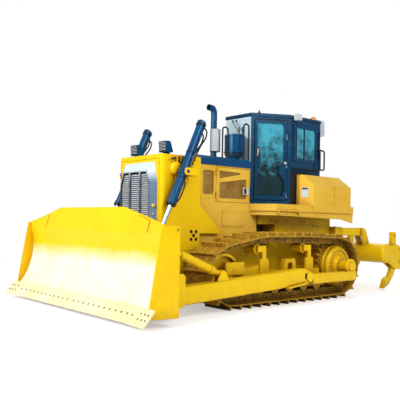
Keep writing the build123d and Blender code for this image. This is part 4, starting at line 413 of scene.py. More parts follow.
class Trim:
    """One trim piece, built up in a single mesh from small forms."""

    def __init__(self, name, body, slot):
        self.name, self.body, self.slot = name, body, slot
        self.shape = bmesh.new()

    def skin(self, rings, hollow=False):
        """Skin between rings of points, closed at both ends, or led back to the first ring."""
        loops = [[self.shape.verts.new(at(*point)) for point in ring] for ring in rings]
        count = len(loops[0])
        for low, high in zip(loops, loops[1:] + loops[:hollow]):
            for i in range(count):
                self.shape.faces.new((low[i], low[(i + 1) % count], high[(i + 1) % count], high[i]))
        if not hollow:
            self.shape.faces.new(loops[0][::-1])
            self.shape.faces.new(loops[-1])

    def lathe(self, foot, axis, profile, sides=16, turn=0.0, hollow=False):
        """Round form along axis from foot; profile holds radius and height pairs."""
        foot, axis = Vector(foot), Vector(axis).normalized()
        u, v = square_to(axis)
        angles = [turn + 2 * math.pi * i / sides for i in range(sides)]
        spokes = [math.cos(a) * u + math.sin(a) * v for a in angles]
        rings = [[foot + height * axis + radius * spoke for spoke in spokes] for radius, height in profile]
        self.skin(rings, hollow)

    def bolt(self, place, normal, size, turn=0.3):
        """Hexagon head on its washer, sunk a little into the surface."""
        self.lathe(place, normal, [(1.35 * size, -0.002), (1.35 * size, 0.003), (1.25 * size, 0.004)], 14)
        self.lathe(place, normal, [(size, 0.001), (size, 0.6 * size), (0.84 * size, 0.75 * size)], 6, turn)

    def plough_bolt(self, place, normal, size):
        """Flush bolt head with a low dome."""
        dome = [(size, -0.002), (size, 0.0015), (0.7 * size, 0.004), (0.2 * size, 0.005)]
        self.lathe(place, normal, dome, 14)

    def tube(self, points, radius, sides=10, smooth=6):
        """Pipe or hose through the points, with rounded turns."""
        points = [Vector(p) for p in points]
        path = [points[0]]
        for a, b, c in zip(points, points[1:], points[2:]):
            into, out = b + (a - b) * 0.45, b + (c - b) * 0.45
            for i in range(smooth + 1):
                s = i / smooth
                path.append((1 - s) ** 2 * into + 2 * s * (1 - s) * b + s ** 2 * out)
        path.append(points[-1])
        u, _ = square_to(path[1] - path[0])
        angles = [2 * math.pi * k / sides for k in range(sides)]
        rings = []
        for i, point in enumerate(path):
            ahead = (path[min(i + 1, len(path) - 1)] - path[max(i - 1, 0)]).normalized()
            u = (u - u.dot(ahead) * ahead).normalized()
            v = ahead.cross(u)
            rings.append([point + radius * (math.cos(a) * u + math.sin(a) * v) for a in angles])
        self.skin(rings)

    def slab(self, outline, lift, edge=0.0015):
        """Flat plate: an outline of points in a plane, thickened by lift, its top edge broken."""
        outline = [Vector(p) for p in outline]
        lift = Vector(lift)
        middle = sum(outline, Vector()) / len(outline)
        keep = [p + (middle - p).normalized() * edge for p in outline]
        part = lift.normalized() * min(edge, lift.length / 2)
        self.skin([outline, [p + lift - part for p in outline], [p + lift for p in keep]])

    def block(self, low, high, edge=0.003):
        """Upright block between two corners, its top and bottom edges broken."""
        (x0, y0, z0), (x1, y1, z1) = low, high
        wide = corners(x0, x1, y0, y1)
        tight = corners(x0 + edge, x1 - edge, y0 + edge, y1 - edge)
        levels = ((tight, z0), (wide, z0 + edge), (wide, z1 - edge), (tight, z1))
        self.skin([[(x, y, z) for x, y in flat] for flat, z in levels])

    def mirror(self):
        """The same again on the machine's other side."""
        copy = bmesh.ops.duplicate(self.shape, geom=self.shape.verts[:] + self.shape.faces[:])
        for vertex in copy["geom"]:
            if isinstance(vertex, bmesh.types.BMVert):
                vertex.co.y = -vertex.co.y

    def finish(self):
        """Turn the mesh into a piece of the scene, on its body and with its material."""
        bmesh.ops.recalc_face_normals(self.shape, faces=self.shape.faces)
        piece = new_piece(self.name, self.shape)
        piece.data.materials.append(SLOT_MATERIAL[self.slot])
        piece.data.shade_smooth()
        piece.data.set_sharp_from_angle(angle=math.radians(40))
        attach(piece, self.body)


# ------------------------------------------------------------------ bolts
INWARD, BACKWARD, FORWARD = (0, -1, 0), (-1, 0, 0), (1, 0, 0)
HUB_Z = 0.567       # height of the final drives' middle


def bolts(name, body, slot, rows, mirrored=True, plough=False):
    """Bolt heads seated on CAD nodes; a row gives node, start, direction and size."""
    trim = Trim(name, body, slot)
    for node, start, direction, size in rows:
        place, normal = landing(node, start, direction)
        (trim.plough_bolt if plough else trim.bolt)(place, normal, size)
    if mirrored:
        trim.mirror()
    trim.finish()


def on_left(node, places, size, y=2):
    """Rows of bolts that point inward from the machine's left, at x and z places."""
    return [(node, (x, y, z), INWARD, size) for x, z in places]


def on_front(node, places, size):
    """Rows of bolts that point backward, at y and z places."""
    return [(node, (6, y, z), BACKWARD, size) for y, z in places]


def on_rear(node, places, size):
    """Rows of bolts that point forward, at y and z places."""
    return [(node, (-3, y, z), FORWARD, size) for y, z in places]


def grid(first, second):
    """Every pair of one number from each list."""
    return [(a, b) for a in first for b in second]


def circle(radius, count, turn=0.0):
    """Places spaced round the sprocket's axle."""
    angles = [turn + 2 * math.pi * i / count for i in range(count)]
    return [(radius * math.cos(a), HUB_Z + radius * math.sin(a)) for a in angles]


def make_hull_bolts():
    platform = [(1.129, 1.357), (1.077, 1.358), (0.997, 1.332), (0.93, 1.333), (0.698, 1.345), (0.259, 1.341),
                (0.171, 1.342)]
    bolts("hull_bolts", "tractor", "yellow_paint", on_left("platform", platform, 0.018))
    case = [(0.94, 1.218), (-0.085, 1.269), (-0.208, 1.251), (0.5, 1.2), (0.7, 1.2)]
    bolts("case_bolts", "tractor", "yellow_paint", on_left("main_frame", case, 0.018, y=0.7))
    guard = [(3.45, 0.93), (3.45, 2.24), (3.30, 2.28), (2.90, 2.28)]
    bolts("guard_bolts", "tractor", "yellow_paint", on_left("radiator_guard", guard, 0.014))
    mount = grid((2.87, 2.97), (1.16, 1.04)) + [(2.92, 1.1)]
    bolts("mount_bolts", "tractor", "black_steel", on_left("radiator_guard", mount, 0.020))


def make_undercarriage_bolts():
    drum = on_left("final_drives", circle(0.291, 24), 0.012)
    drum += on_left("final_drives", circle(0.115, 10), 0.013)
    bolts("drum_bolts", "tractor", "track_steel", drum)
    roller_frame = on_left("track_frames", circle(0.082, 8, 0.39), 0.013)
    roller_frame += on_left("track_frames", grid((2.66, 2.80), (0.44, 0.60)), 0.015)
    bolts("track_frame_bolts", "tractor", "yellow_paint", roller_frame)


def make_body_bolts():
    fender = on_left("fenders", grid((0.95, 1.15, 1.33), (1.48, 1.53)), 0.013)
    fender += on_left("fenders", grid((-0.72, -0.45, -0.15, 0.15, 0.45, 0.75, 1.30), (1.60,)), 0.011)
    bolts("fender_bolts", "tractor", "yellow_paint", fender)
    tank = on_left("fuel_tank", grid((-0.21, -0.145), (1.60, 1.72, 1.84, 1.96)), 0.011)
    tank += on_left("fuel_tank", grid((-0.62, -0.42, 0.05, 0.35), (1.56,)), 0.011)
    tank += on_rear("fuel_tank", grid((0.15, 0.45, 0.75), (1.75, 2.12)), 0.012)
    bolts("tank_bolts", "tractor", "yellow_paint", tank)
    panel = on_left("engine_sides", grid((1.79, 2.205), (1.27, 1.47)), 0.012)
    panel += on_left("engine_sides", grid((2.55, 2.72), (1.0, 1.35, 1.7, 2.1)), 0.010)
    bolts("side_bolts", "tractor", "yellow_paint", panel)
    for side, word in SIDES:
        door = "engine_door_" + word
        rows = [(door, (x, 2 * side, z), (0, -side, 0), 0.010) for x, z in corners(1.65, 2.36, 1.68, 2.19)]
        bolts("engine_door_bolts_" + word, door, "yellow_paint", rows, mirrored=False)


def make_tool_bolts():
    """Bolts of the blade's edge, the grille door and the ripper."""
    edge = on_front("cutting_edge", [(0.09 + 0.135 * i, 0.165) for i in range(12)], 0.017)
    edge += on_front("cutting_edge", grid((1.74, 1.83, 1.91), (0.14, 0.20)), 0.016)
    bolts("edge_bolts", "blade", "cast_iron", edge, plough=True)
    rim = on_front("grille_door", grid((0.485,), (1.05, 1.35, 1.65, 1.95, 2.2)), 0.010)
    rim += on_front("grille_door", grid((0.135,), (1.2, 1.5, 1.8)), 0.009)
    bolts("grille_bolts", "grille_door", "yellow_paint", rim)
    beam = on_rear("ripper_beam", grid((0.12, 0.88), (0.62, 0.76)), 0.016)
    bolts("ripper_bolts", "ripper_beam", "yellow_paint", beam)


# ------------------------------------------------------------------ lift cylinders and pipes
TRUNNION = (3.265, 0.70, 2.067)
LIFT_DOWN = (0.4153, 0, -0.9096)
ROD_EYE = (3.88, 0.70, 0.72)


def along(side, s, back=0.0, out=0.0):
    """A point on a lift cylinder: s down from the trunnion, back and outward from the middle line."""
    x, y, z = TRUNNION
    run, _, rise = LIFT_DOWN
    return (x + run * s + rise * back, side * (y + out), z + rise * s - run * back)


def make_collars(side, word):
    """Clamp rings round the barrel, each with a bolt on its outer side."""
    collars = Trim("collars_" + word, "lift_cylinder_" + word, "black_steel")
    rows = ((-0.81, 0.0735, 0.018), (0.545, 0.0745, 0.022), (0.10, 0.068, 0.014), (-0.32, 0.066, 0.012))
    for s, radius, half in rows:
        inner = radius - 0.014
        profile = [(inner, 0), (radius, 0.004), (radius, 2 * half - 0.004), (inner, 2 * half)]
        collars.lathe(along(side, s - half), LIFT_DOWN, profile, 28, hollow=True)
        collars.bolt(along(side, s, 0.0, 0.072), (0, side, 0), 0.009)
    collars.finish()


def make_hoses(side, word):
    """Two hoses down from the head and one up from the foot of the barrel; rows are s, back and out."""
    upper = [(-0.80, 0.05, 0.03), (-0.78, 0.13, 0.04), (-0.66, 0.15, 0.045), (-0.50, 0.105, 0.045),
             (-0.32, 0.088, 0.04), (-0.12, 0.088, 0.035)]
    inner = [(-0.74, 0.05, -0.02), (-0.72, 0.15, -0.03), (-0.58, 0.16, -0.02), (-0.42, 0.10, -0.01),
             (-0.30, 0.084, 0.0)]
    lower = [(0.12, 0.085, 0.03), (0.24, 0.105, 0.035), (0.40, 0.10, 0.03), (0.50, 0.07, 0.015)]
    hoses = Trim("hoses_" + word, "lift_cylinder_" + word, "rubber")
    for rows, radius in ((upper, 0.012), (inner, 0.012), (lower, 0.011)):
        hoses.tube([along(side, *row) for row in rows], radius)
    hoses.finish()
    ends = Trim("hose_ends_" + word, "lift_cylinder_" + word, "yellow_paint")
    for s, back, out in (upper[-1], lower[0], inner[-1]):
        nut = [(0.013, 0), (0.017, 0.004), (0.017, 0.02), (0.013, 0.024), (0.013, 0.04)]
        ends.lathe(along(side, s - 0.02, back, out), LIFT_DOWN, nut, 6)
    ends.finish()


def make_rod_collar(side, word):
    """Dark collar on the rod, just above its eye."""
    collar = Trim("rod_eye_" + word, "lift_rod_" + word, "black_steel")
    up = -Vector(LIFT_DOWN)
    foot = Vector((ROD_EYE[0], side * ROD_EYE[1], ROD_EYE[2])) + 0.06 * up
    collar.lathe(foot, up, [(0.036, 0), (0.046, 0.004), (0.046, 0.05), (0.036, 0.058)], 24)
    collar.finish()


def make_cylinder_trim():
    for side, word in SIDES:
        make_collars(side, word)
        make_hoses(side, word)
        make_rod_collar(side, word)


def make_pipes():
    """Steel pipes from the guard's top to the cylinder yokes, their clamps, and a casting below them."""
    pipes = Trim("guard_pipes", "tractor", "black_steel")
    fittings = Trim("guard_fittings", "tractor", "yellow_paint")
    for x, z, end in ((3.42, 2.265, 3.12), (3.36, 2.225, 3.09)):
        pipes.tube([(x, 0.560, z), (x - 0.02, 0.592, z), (end + 0.05, 0.592, z + 0.045), (end, 0.60, 2.20),
                    (end, 0.62, 2.10)], 0.010)
        upper_nut = [(0.020, 0), (0.020, 0.010), (0.016, 0.016), (0.016, 0.026)]
        fittings.lathe((x, 0.566, z), (0, 1, 0), upper_nut, 6)
        lower_nut = [(0.013, 0), (0.016, 0.003), (0.016, 0.026), (0.013, 0.03)]
        fittings.lathe((end, 0.6, 2.20), (0, 0.15, -1), lower_nut, 6)
    for x in (3.30, 3.22):
        fittings.block((x - 0.014, 0.568, 2.225), (x + 0.014, 0.606, 2.315))
        fittings.bolt((x, 0.606, 2.27), (0, 1, 0), 0.008)
    fittings.skin([casting_ring(y, drawn_in) for y, drawn_in in
                   ((0.566, 0.0), (0.600, 0.004), (0.622, 0.016), (0.630, 0.034))])
    for x, z in ((3.37, 2.17), (3.385, 2.07), (3.26, 2.17)):
        fittings.bolt((x, 0.618, z), (0, 1, 0), 0.011)
    pipes.mirror()
    fittings.mirror()
    pipes.finish()
    fittings.finish()


def casting_ring(y, c):
    """Eight-sided outline of the casting beside the cylinder, drawn in by c."""
    outline = [(3.40 - c, 2.03 + c), (3.43 - c, 2.10), (3.40 - c, 2.20 - c), (3.31, 2.235 - c),
               (3.22 + c, 2.20 - c), (3.20 + c, 2.10), (3.23 + c, 2.03 + c), (3.31, 2.005 + c)]
    return [(x, y, z) for x, z in outline]


# ------------------------------------------------------------------ cab
DOOR_OUT = (0.458, 0.889)           # the slanting wall's outward direction, in x and y
DOOR_HINGES = (1.81, 2.34, 2.85)    # their heights


def on_door(side, x, out, z=0.0):
    """A point over the cab door's wall at x, out from its outer face."""
    y = 0.66 - (x - 0.74) * 0.34 / 0.66
    return Vector((x + DOOR_OUT[0] * out, side * (y + DOOR_OUT[1] * out), z))


def door_plate(trim, side, edges, low, high):
    """Small plate on the door's slanting wall, between two distances from its outer face."""
    facing = Vector((DOOR_OUT[0], side * DOOR_OUT[1], 0))
    trim.slab([on_door(side, x, low, z) for x, z in corners(*edges)], facing * (high - low), 0.003)


def make_door_trim(side, word):
    """Recess and handle, a painted shadow along the top under the roof's edge, lock, hinge bolts and hinge
    leaves of a cab door.
    """
    door = "cab_door_" + word
    facing = Vector((DOOR_OUT[0], side * DOOR_OUT[1], 0))
    recess = Trim("door_recess_and_shadow_" + word, door, "black_plastic")
    door_plate(recess, side, (1.262, 1.322, 2.46, 2.66), 0.007, 0.012)
    # Painted shadow: dark strip along the door's top, under the roof's edge.
    door_plate(recess, side, (0.84, 1.30, 3.126, 3.144), 0.007, 0.011)
    recess.finish()
    bright = Trim("door_fittings_" + word, door, "white_plastic")
    bright.lathe(on_door(side, 0.825, 0.006, 2.388), facing, [(0.022, 0), (0.022, 0.006), (0.016, 0.012)], 20)
    handle = ((1.298, 0.012, 2.50), (1.298, 0.034, 2.51), (1.290, 0.036, 2.61), (1.290, 0.012, 2.62))
    bright.tube([on_door(side, *row) for row in handle], 0.010)
    for hinge in DOOR_HINGES:
        for offset in (-0.035, 0.0, 0.035):
            bright.bolt(on_door(side, 0.80, 0.009, hinge + offset), facing, 0.006)
    bright.finish()
    leaves = Trim("door_hinge_leaves_" + word, door, "blue_paint")
    for hinge in DOOR_HINGES:
        door_plate(leaves, side, (0.785, 0.86, hinge - 0.05, hinge + 0.05), 0.006, 0.010)
    leaves.finish()


def make_window_seals():
    """Upright rubber strips in the middle of the side windows."""
    seals = Trim("cab_window_seals", "tractor", "rubber")
    for x in (-0.10, 0.57):
        seals.block((x - 0.004, 0.645, 2.50), (x + 0.004, 0.668, 3.03), 0.002)
    seals.mirror()
    seals.finish()


def make_wipers():
    wipers = Trim("wipers", "tractor", "black_plastic")
    for y, far in ((-0.13, 0.04), (-0.04, 0.13)):
        wipers.lathe((1.404, y, 3.15), FORWARD, [(0.018, 0), (0.018, 0.016), (0.010, 0.024)], 16)
        wipers.tube([(1.426, y, 3.15), (1.430, (y + far) / 2, 3.04), (1.424, far, 2.93)], 0.005, 8)
        wipers.block((1.407, far - 0.012, 2.70), (1.420, far + 0.004, 3.02), 0.002)
    wipers.finish()


def make_lower_shade_sheet():
    """Painted shade: a dark sheet on the cab's lower side walls, in front of the tank, where the wall goes
    inward.
    """
    sheet = Trim("cab_lower_shade_sheet", "tractor", "black_steel")
    for side, _ in SIDES:
        outline = [(0.735, 0.661, 1.66), (0.735, 0.661, 2.26), (0.30, 0.661, 2.26), (0.20, 0.661, 2.235),
                   (0.20, 0.659, 1.66)]
        sheet.slab([(x, side * y, z) for x, y, z in outline], (0, side * 0.004, 0))
    sheet.finish()


def make_cab_trim():
    for side, word in SIDES:
        make_door_trim(side, word)
    make_window_seals()
    make_wipers()
    make_lower_shade_sheet()


# ------------------------------------------------------------------ other fittings
def make_dark_trim():
    """Exhaust mouth, pre-cleaner rim, painted shade of the slots in the push arms as dark plates, and an
    aerial on the roof.
    """
    dark = Trim("dark_trim", "tractor", "black_steel")
    mouth, _ = landing("exhaust_stack", (2.6, 0.0, 3.292), BACKWARD)
    hole = [(0.040, 0), (0.046, 0.021), (0.030, 0.0215), (0.010, 0.0217)]
    dark.lathe((mouth.x - 0.02, 0, 3.292), FORWARD, hole, 20)
    rim = [(0.16, 0), (0.176, 0.006), (0.176, 0.026), (0.16, 0.034)]
    dark.lathe((1.625, 0.14, 2.485), (0, 0, 1), rim, 40)
    # Painted shade: dark plates standing for the slots in the push arms.
    plate = [(1.312, 0.425), (1.352, 0.425), (1.358, 0.47), (1.352, 0.515), (1.312, 0.515), (1.306, 0.47)]
    for side, _ in SIDES:
        place, _ = landing("push_arms", (1.333, side * 2, 0.472), (0, -side, 0))
        dark.slab([(x, place.y, z) for x, z in plate], (0, side * 0.003, 0))
    aerial = [(0.026, 0), (0.026, 0.012), (0.012, 0.018), (0.012, 0.045), (0.004, 0.05)]
    dark.lathe((1.24, 0.36, 3.262), (0, 0, 1), aerial, 16)
    dark.finish()


def make_lamp_fins():
    """Level fins over the front lamps' lenses."""
    fins = Trim("lamp_fins", "tractor", "white_plastic")
    for side, _ in SIDES:
        middle = side * 0.379
        for z in (2.405, 2.428, 2.451, 2.474, 2.497, 2.520):
            fins.block((3.405, middle - 0.080, z), (3.421, middle + 0.080, z + 0.006), 0.001)
    fins.finish()


def make_blank_plate():
    """Bare notice plate with a dark header, on the tank's slanting front."""
    out = Vector((0.845, 0.535, 0))
    span = Vector((-0.535, 0.845, 0))
    foot = Vector((0.503, 0.856, 0)) - 0.033 * span
    rows = (("blank_plates", "white_plastic", corners(-0.062, 0.062, 1.785, 1.965), 0.0, 0.004, 0.0015),
            ("plate_header", "black_plastic", corners(-0.05, 0.05, 1.925, 1.955), 0.0035, 0.002, 0.0005))
    for name, slot, outline, start, thickness, edge in rows:
        plate = Trim(name, "tractor", slot)
        points = [foot + out * start + a * span + Vector((0, 0, z)) for a, z in outline]
        plate.slab(points, out * thickness, edge)
        plate.finish()


def make_engine_latches():
    """A pale plate with a dark pull on each engine door."""
    for side, word in SIDES:
        door = "engine_door_" + word
        face = side * 0.5305
        sunk = face - side * 0.02
        rows = (("engine_latch_", "white_plastic", corners(1.657, 1.778, 1.787, 1.903), sunk, 0.02),
                ("engine_latch_pull_", "black_plastic", corners(1.712, 1.768, 1.800, 1.890), face, 0.004))
        for name, slot, outline, y, thickness in rows:
            latch = Trim(name + word, door, slot)
            latch.slab([(x, y, z) for x, z in outline], (0, side * thickness, 0))
            latch.finish()


def make_grille_latch():
    """A knob and a round lock on the grille door's rim."""
    knob = [(0.026, -0.002), (0.026, 0.006), (0.014, 0.012), (0.014, 0.03), (0.020, 0.036), (0.020, 0.046)]
    lock = [(0.018, -0.002), (0.018, 0.005), (0.013, 0.010)]
    rows = (("grille_latch", "yellow_paint", 1.55, knob), ("grille_lock", "bright_steel", 1.42, lock))
    for name, slot, z, profile in rows:
        latch = Trim(name, "grille_door", slot)
        place, normal = landing("grille_door", (6, 0.43, z), BACKWARD)
        latch.lathe(place, normal, profile, 20)
        latch.finish()


def make_blade_trim():
    """Dark joints between the lengths of cutting edge, and a thin gusset in each upper corner."""
    joints = Trim("edge_joints", "blade", "black_steel")
    half = Vector((0, 0.002, 0))
    for y in (0.84, 1.662):
        low, normal = landing("cutting_edge", (6, y, 0.085), BACKWARD)
        high, _ = landing("cutting_edge", (6, y, 0.235), BACKWARD)
        joints.slab([low - half, low + half, high + half, high - half], normal * 0.0012, 0.0002)
    joints.mirror()
    joints.finish()
    gussets = Trim("blade_gussets", "blade", "yellow_paint")
    outline = []
    for y, z in ((1.24, 1.395), (1.415, 1.17), (1.50, 1.325)):
        place, _ = landing("blade", (6, y, z), BACKWARD)
        outline.append(place + Vector((0.001, 0, 0)))
    gussets.slab(outline, (0.010, 0, 0))
    gussets.mirror()
    gussets.finish()


# ------------------------------------------------------------------ seat
PAD_STEPS = 20
PIPING_STEPS = 48


def bowed(a, b):
    """A point of the square from -1 to 1, the square's corners drawn in and its sides bowed."""
    return a * math.sqrt(1 - b * b * 0.16), b * math.sqrt(1 - a * a * 0.16)


def pad_height(a, b, thick, crown, channels):
    """Half the pad's thickness at a point of the square: full up to the rim, with dents along the seams."""
    full = (1 - abs(a) ** 5) ** 0.5 * (1 - abs(b) ** 5) ** 0.5
    height = thick * full + crown * (1 - a * a) * (1 - b * b)
    for channel in channels:
        height -= 0.012 * math.exp(-((b - channel) / 0.05) ** 2) * full
    return height


def make_piping(name, foot, forward, across, long, wide):
    """Thin cord sewn into the pad's rim."""
    outline = []
    for k in range(PIPING_STEPS):
        turn = 2 * math.pi * k / PIPING_STEPS
        a, b = (max(-1.0, min(1.0, 1.12 * f(turn))) for f in (math.cos, math.sin))
        x, y = bowed(a, b)
        outline.append(Vector(foot) + (long * x + 0.001) * forward + (wide * y + 0.001) * across)
    piping = Trim(name, "tractor", "rubber")
    piping.tube(outline + outline[:1], 0.004, 8, 2)
    piping.finish()


def pad(name, foot, forward, upward, sizes, crown, channels=(), fill=0.8):
    """Stuffed pad: crowned on both faces, full at the sides, with sewn channels and piping round its edge."""
    forward, upward = Vector(forward).normalized(), Vector(upward).normalized()
    across = upward.cross(forward)
    long, wide, thick = (size / 2 for size in sizes)
    ticks = [2 * i / PAD_STEPS - 1 for i in range(PAD_STEPS + 1)]
    shape = bmesh.new()
    for face in (1, -1):
        rows = []
        for a in ticks:
            row = []
            for b in ticks:
                x, y = bowed(a, b)
                rise = face * pad_height(a, b, thick, crown, channels)
                flat = at(*foot) + long * x * forward + wide * y * across
                row.append(shape.verts.new(flat + rise * upward))
            rows.append(row)
        for i in range(PAD_STEPS):
            for j in range(PAD_STEPS):
                quad = (rows[i][j], rows[i + 1][j], rows[i + 1][j + 1], rows[i][j + 1])
                shape.faces.new(quad[::face])
    bmesh.ops.remove_doubles(shape, verts=shape.verts, dist=0.0004)
    bmesh.ops.recalc_face_normals(shape, faces=shape.faces)
    piece = new_piece(name, shape)
    piece.data.materials.append(FABRIC)
    piece.data.shade_smooth()
    piece.modifiers.new("smooth", "SUBSURF").render_levels = 1
    make_piping(name + "_piping", foot, forward, across, long, wide)
    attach(piece, "tractor")
    return piece


def make_seat():
    """Operator's seat: cushion, back, head rest and two arm rests on a tube frame."""
    level = ((1, 0, 0), (0, 0, 1))
    channels = (-0.55, 0.55)
    cushion = pad("seat_cushion", (0.435, 0, 2.015), *level, (0.49, 0.49, 0.095), 0.016, channels)
    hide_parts("cab_seat")
    leaning = ((-0.19, 0, 0.98), (0.98, 0, 0.19))
    pad("seat_back", (0.180, 0, 2.325), *leaning, (0.60, 0.45, 0.090), 0.014, channels)
    pad("head_rest", (0.108, 0, 2.705), (-0.1, 0, 1), (1, 0, 0.1), (0.20, 0.26, 0.060), 0.010)
    for side, word in SIDES:
        pad("arm_rest_" + word, (0.385, side * 0.262, 2.240), *level, (0.35, 0.075, 0.040), 0.006)
    tubes = Trim("seat_frame", "tractor", "black_steel")
    for side, _ in SIDES:
        arm = side * 0.262
        bent = [(0.23, side * 0.245, 1.975), (0.20, arm, 2.06), (0.20, arm, 2.222), (0.30, arm, 2.222)]
        tubes.tube(bent, 0.012)
        tubes.tube([(0.125, side * 0.07, 2.55), (0.118, side * 0.07, 2.66)], 0.007)
    tubes.block((0.20, -0.19, 1.955), (0.62, 0.19, 1.975))
    tubes.finish()


# ------------------------------------------------------------------ tracks
# The wheels that the chain runs round, as x, z and radius to the pins' centres, listed anticlockwise:
# sprocket, idler, front and rear carrier roller. The sizes are the CAD model's.
TRACK_WHEELS = ((0.0, 0.566, 0.434), (2.745, 0.522, 0.390), (2.040, 0.900, 0.136), (0.900, 0.900, 0.136))
LINK_PITCH = 0.216
CHAIN_FACES = ((1.095, 1), (0.905, -1))     # y of the chain's two sides, and the way each faces


def track_stretches():
    """The chain's arcs and straight runs in turn: each its length and a function from distance to x and z."""
    ahead_of = TRACK_WHEELS[1:] + TRACK_WHEELS[:1]
    leaving = []
    for (x1, z1, r1), (x2, z2, r2) in zip(TRACK_WHEELS, ahead_of):
        heading = math.atan2(z2 - z1, x2 - x1)
        leaving.append(heading - math.acos((r1 - r2) / math.hypot(x2 - x1, z2 - z1)))
    stretches = []
    reaching = leaving[-1:] + leaving[:-1]
    for (x, z, radius), (x2, z2, r2), start, end in zip(TRACK_WHEELS, ahead_of, reaching, leaving):

        def on_arc(s, x=x, z=z, radius=radius, start=start):
            return x + radius * math.cos(start + s / radius), z + radius * math.sin(start + s / radius)

        foot = Vector((x + radius * math.cos(end), z + radius * math.sin(end)))
        run = Vector((x2 + r2 * math.cos(end), z2 + r2 * math.sin(end))) - foot

        def on_run(s, foot=foot, run=run):
            return tuple(foot + run.normalized() * s)

        stretches += [((end - start) % (2 * math.pi) * radius, on_arc), (run.length, on_run)]
    return stretches


def track_pins():
    """The pins' x and z round one track, evenly spaced, to the nearest millimetre."""
    stretches = track_stretches()
    whole = sum(length for length, _ in stretches)
    count = round(whole / LINK_PITCH)
    pins = []
    for index in range(count):
        s = whole * index / count
        for length, place_at in stretches:
            if s <= length:
                x, z = place_at(s)
                pins.append((round(x, 3), round(z, 3)))
                break
            s -= length
    return pins


def track_links():
    """Each link's pin, its middle, and its directions ahead and outward."""
    pins = [Vector((x, 0, z)) for x, z in track_pins()]
    for here, after in zip(pins, pins[1:] + pins[:1]):
        ahead = (after - here).normalized()
        yield here, (here + after) / 2, ahead, Vector((ahead.z, 0, -ahead.x))


def make_pin_heads():
    """Stepped ends of the pins, on both sides of each chain."""
    heads = Trim("track_pins", "tractor", "track_steel")
    profile = [(0.034, 0), (0.034, 0.007), (0.024, 0.010), (0.022, 0.016), (0.008, 0.018)]
    for pin, _, _, _ in track_links():
        for y, side in CHAIN_FACES:
            heads.lathe(pin + Vector((0, y - 0.002 * side, 0)), (0, side, 0), profile)
    heads.mirror()
    heads.finish()


def make_link_joints():
    """Dark leaning lines where one link of the chain laps over the next."""
    joints = Trim("link_joints", "tractor", "black_steel")
    for _, middle, ahead, outward in track_links():
        for y, side in CHAIN_FACES:
            foot = middle + ahead * 0.052 + Vector((0, y, 0))
            top = foot - ahead * 0.028 + outward * 0.048
            low = foot + ahead * 0.028 - outward * 0.044
            half = ahead * 0.004
            joints.slab([top - half, low - half, low + half, top + half], (0, side * 0.002, 0), 0.0004)
    joints.mirror()
    joints.finish()


def make_shoe_bolts():
    """Four bolts on each shoe; where a line from outside meets a lug or a rail instead, there is none."""
    shoe_bolts = Trim("shoe_bolts", "tractor", "track_steel")
    for _, middle, ahead, outward in track_links():
        for y, shift in grid((0.90, 1.10), (-0.045, 0.015)):
            start = middle + ahead * shift + outward * 0.3 + Vector((0, y, 0))
            place, normal = landing("track_left", start, -outward)
            if 0.05 < (place - middle).dot(outward) < 0.085:
                shoe_bolts.bolt(place, normal, 0.014)
    shoe_bolts.mirror()
    shoe_bolts.finish()


# ------------------------------------------------------------------ stage
def blend(g, amount, first, second):
    """First shader where amount is 0, second where it is 1."""
    return g.add("ShaderNodeMixShader", {0: amount, 1: first, 2: second}).outputs[0]


def make_floor():
    """White ground that takes the machine's shadow and fades to plain white away from it."""
    shape = bmesh.new()
    bmesh.ops.create_grid(shape, x_segments=2, y_segments=2, size=60)
    floor = new_piece("floor", shape)
    material = bpy.data.materials.new("floor")
    g = Graph(material)
    g.tree.nodes.clear()
    diffuse = g.add("ShaderNodeBsdfDiffuse", {"Color": (0.86, 0.86, 0.86, 1)}).outputs[0]
    lift = g.add("ShaderNodeEmission", {"Color": (1, 1, 1, 1), "Strength": 0.42}).outputs[0]
    near = g.add("ShaderNodeAddShader", {0: diffuse, 1: lift}).outputs[0]
    white = g.add("ShaderNodeEmission", {"Color": (1, 1, 1, 1), "Strength": 1.0}).outputs[0]
    reach = g.add("ShaderNodeVectorMath", {0: g.place()}, operation="LENGTH").outputs["Value"]
    seen = blend(g, g.level(reach, 4.5, 10.0), near, white)
    rays = g.add("ShaderNodeLightPath").outputs
    g.add("ShaderNodeOutputMaterial", {0: blend(g, rays["Is Camera Ray"], diffuse, seen)})
    floor.data.materials.append(material)


def make_world():
    """Soft sky for light and mirror images; plain white where the camera looks past the machine."""
    world = bpy.data.worlds.new("studio")
    bpy.context.scene.world = world
    g = Graph(world)
    g.tree.nodes.clear()
    rays = g.add("ShaderNodeLightPath").outputs
    soft = g.add("ShaderNodeBackground", {"Color": (0.90, 0.95, 1.0, 1), "Strength": 0.40}).outputs[0]
    white = g.add("ShaderNodeBackground", {"Color": (1, 1, 1, 1), "Strength": 1.0}).outputs[0]
    seen = g.math("MAXIMUM", rays["Is Camera Ray"], rays["Is Transmission Ray"])
    g.add("ShaderNodeOutputWorld", {0: blend(g, seen, soft, white)})


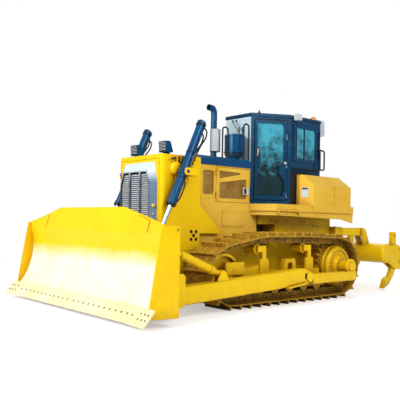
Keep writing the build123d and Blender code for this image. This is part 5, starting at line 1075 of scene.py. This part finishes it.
def area_light(name, place, target, size, power, colour=(1, 1, 1)):
    data = bpy.data.lights.new(name, "AREA")
    data.shape = "SQUARE"
    data.size = size
    data.energy = power
    data.color = colour
    light = bpy.data.objects.new(name, data)
    bpy.context.scene.collection.objects.link(light)
    light.location = place
    light.rotation_euler = (Vector(target) - Vector(place)).to_track_quat("-Z", "Y").to_euler()


def make_lights():
    area_light("key", (12, 1.5, 6.5), (1, 0, 1.0), 6, 1180, (1.0, 0.98, 0.95))
    area_light("fill", (2, 11, 8), (0.3, 0, 1.2), 5, 760)
    area_light("rear", (-8, -6, 8), (0, 0, 1.2), 8, 500)


CAMERA_PLACE = (8.9106, 7.4611, 1.3375)      # from the sprocket axle
CAMERA_YAW = math.radians(230.186)
CAMERA_PITCH = math.radians(0.462)
CAMERA_ROLL = math.radians(1.009)
CAMERA_LENS = 52.61
CAMERA_SHIFT = (0.0456, 0.0383)


def make_camera():
    data = bpy.data.cameras.new("camera")
    data.sensor_width = 36
    data.lens = CAMERA_LENS
    data.shift_x, data.shift_y = CAMERA_SHIFT
    camera = bpy.data.objects.new("camera", data)
    bpy.context.scene.collection.objects.link(camera)
    flat = math.cos(CAMERA_PITCH)
    forward = Vector((flat * math.cos(CAMERA_YAW), flat * math.sin(CAMERA_YAW), math.sin(CAMERA_PITCH)))
    level = forward.cross(Vector((0, 0, 1))).normalized()
    upward = level.cross(forward)
    right = math.cos(CAMERA_ROLL) * level + math.sin(CAMERA_ROLL) * upward
    top = math.cos(CAMERA_ROLL) * upward - math.sin(CAMERA_ROLL) * level
    turn = Matrix((right, top, -forward)).transposed().to_4x4()
    camera.matrix_world = Matrix.Translation(at(*CAMERA_PLACE)) @ turn
    bpy.context.scene.camera = camera


dress_nodes()
make_seat()
make_pin_heads()
make_link_joints()
make_shoe_bolts()
make_hull_bolts()
make_undercarriage_bolts()
make_body_bolts()
make_tool_bolts()
make_cylinder_trim()
make_pipes()
make_cab_trim()
make_dark_trim()
make_lamp_fins()
make_blank_plate()
make_engine_latches()
make_grille_latch()
make_blade_trim()
make_floor()
make_world()
make_lights()
make_camera()
bpy.context.scene.view_settings.view_transform = "Standard"
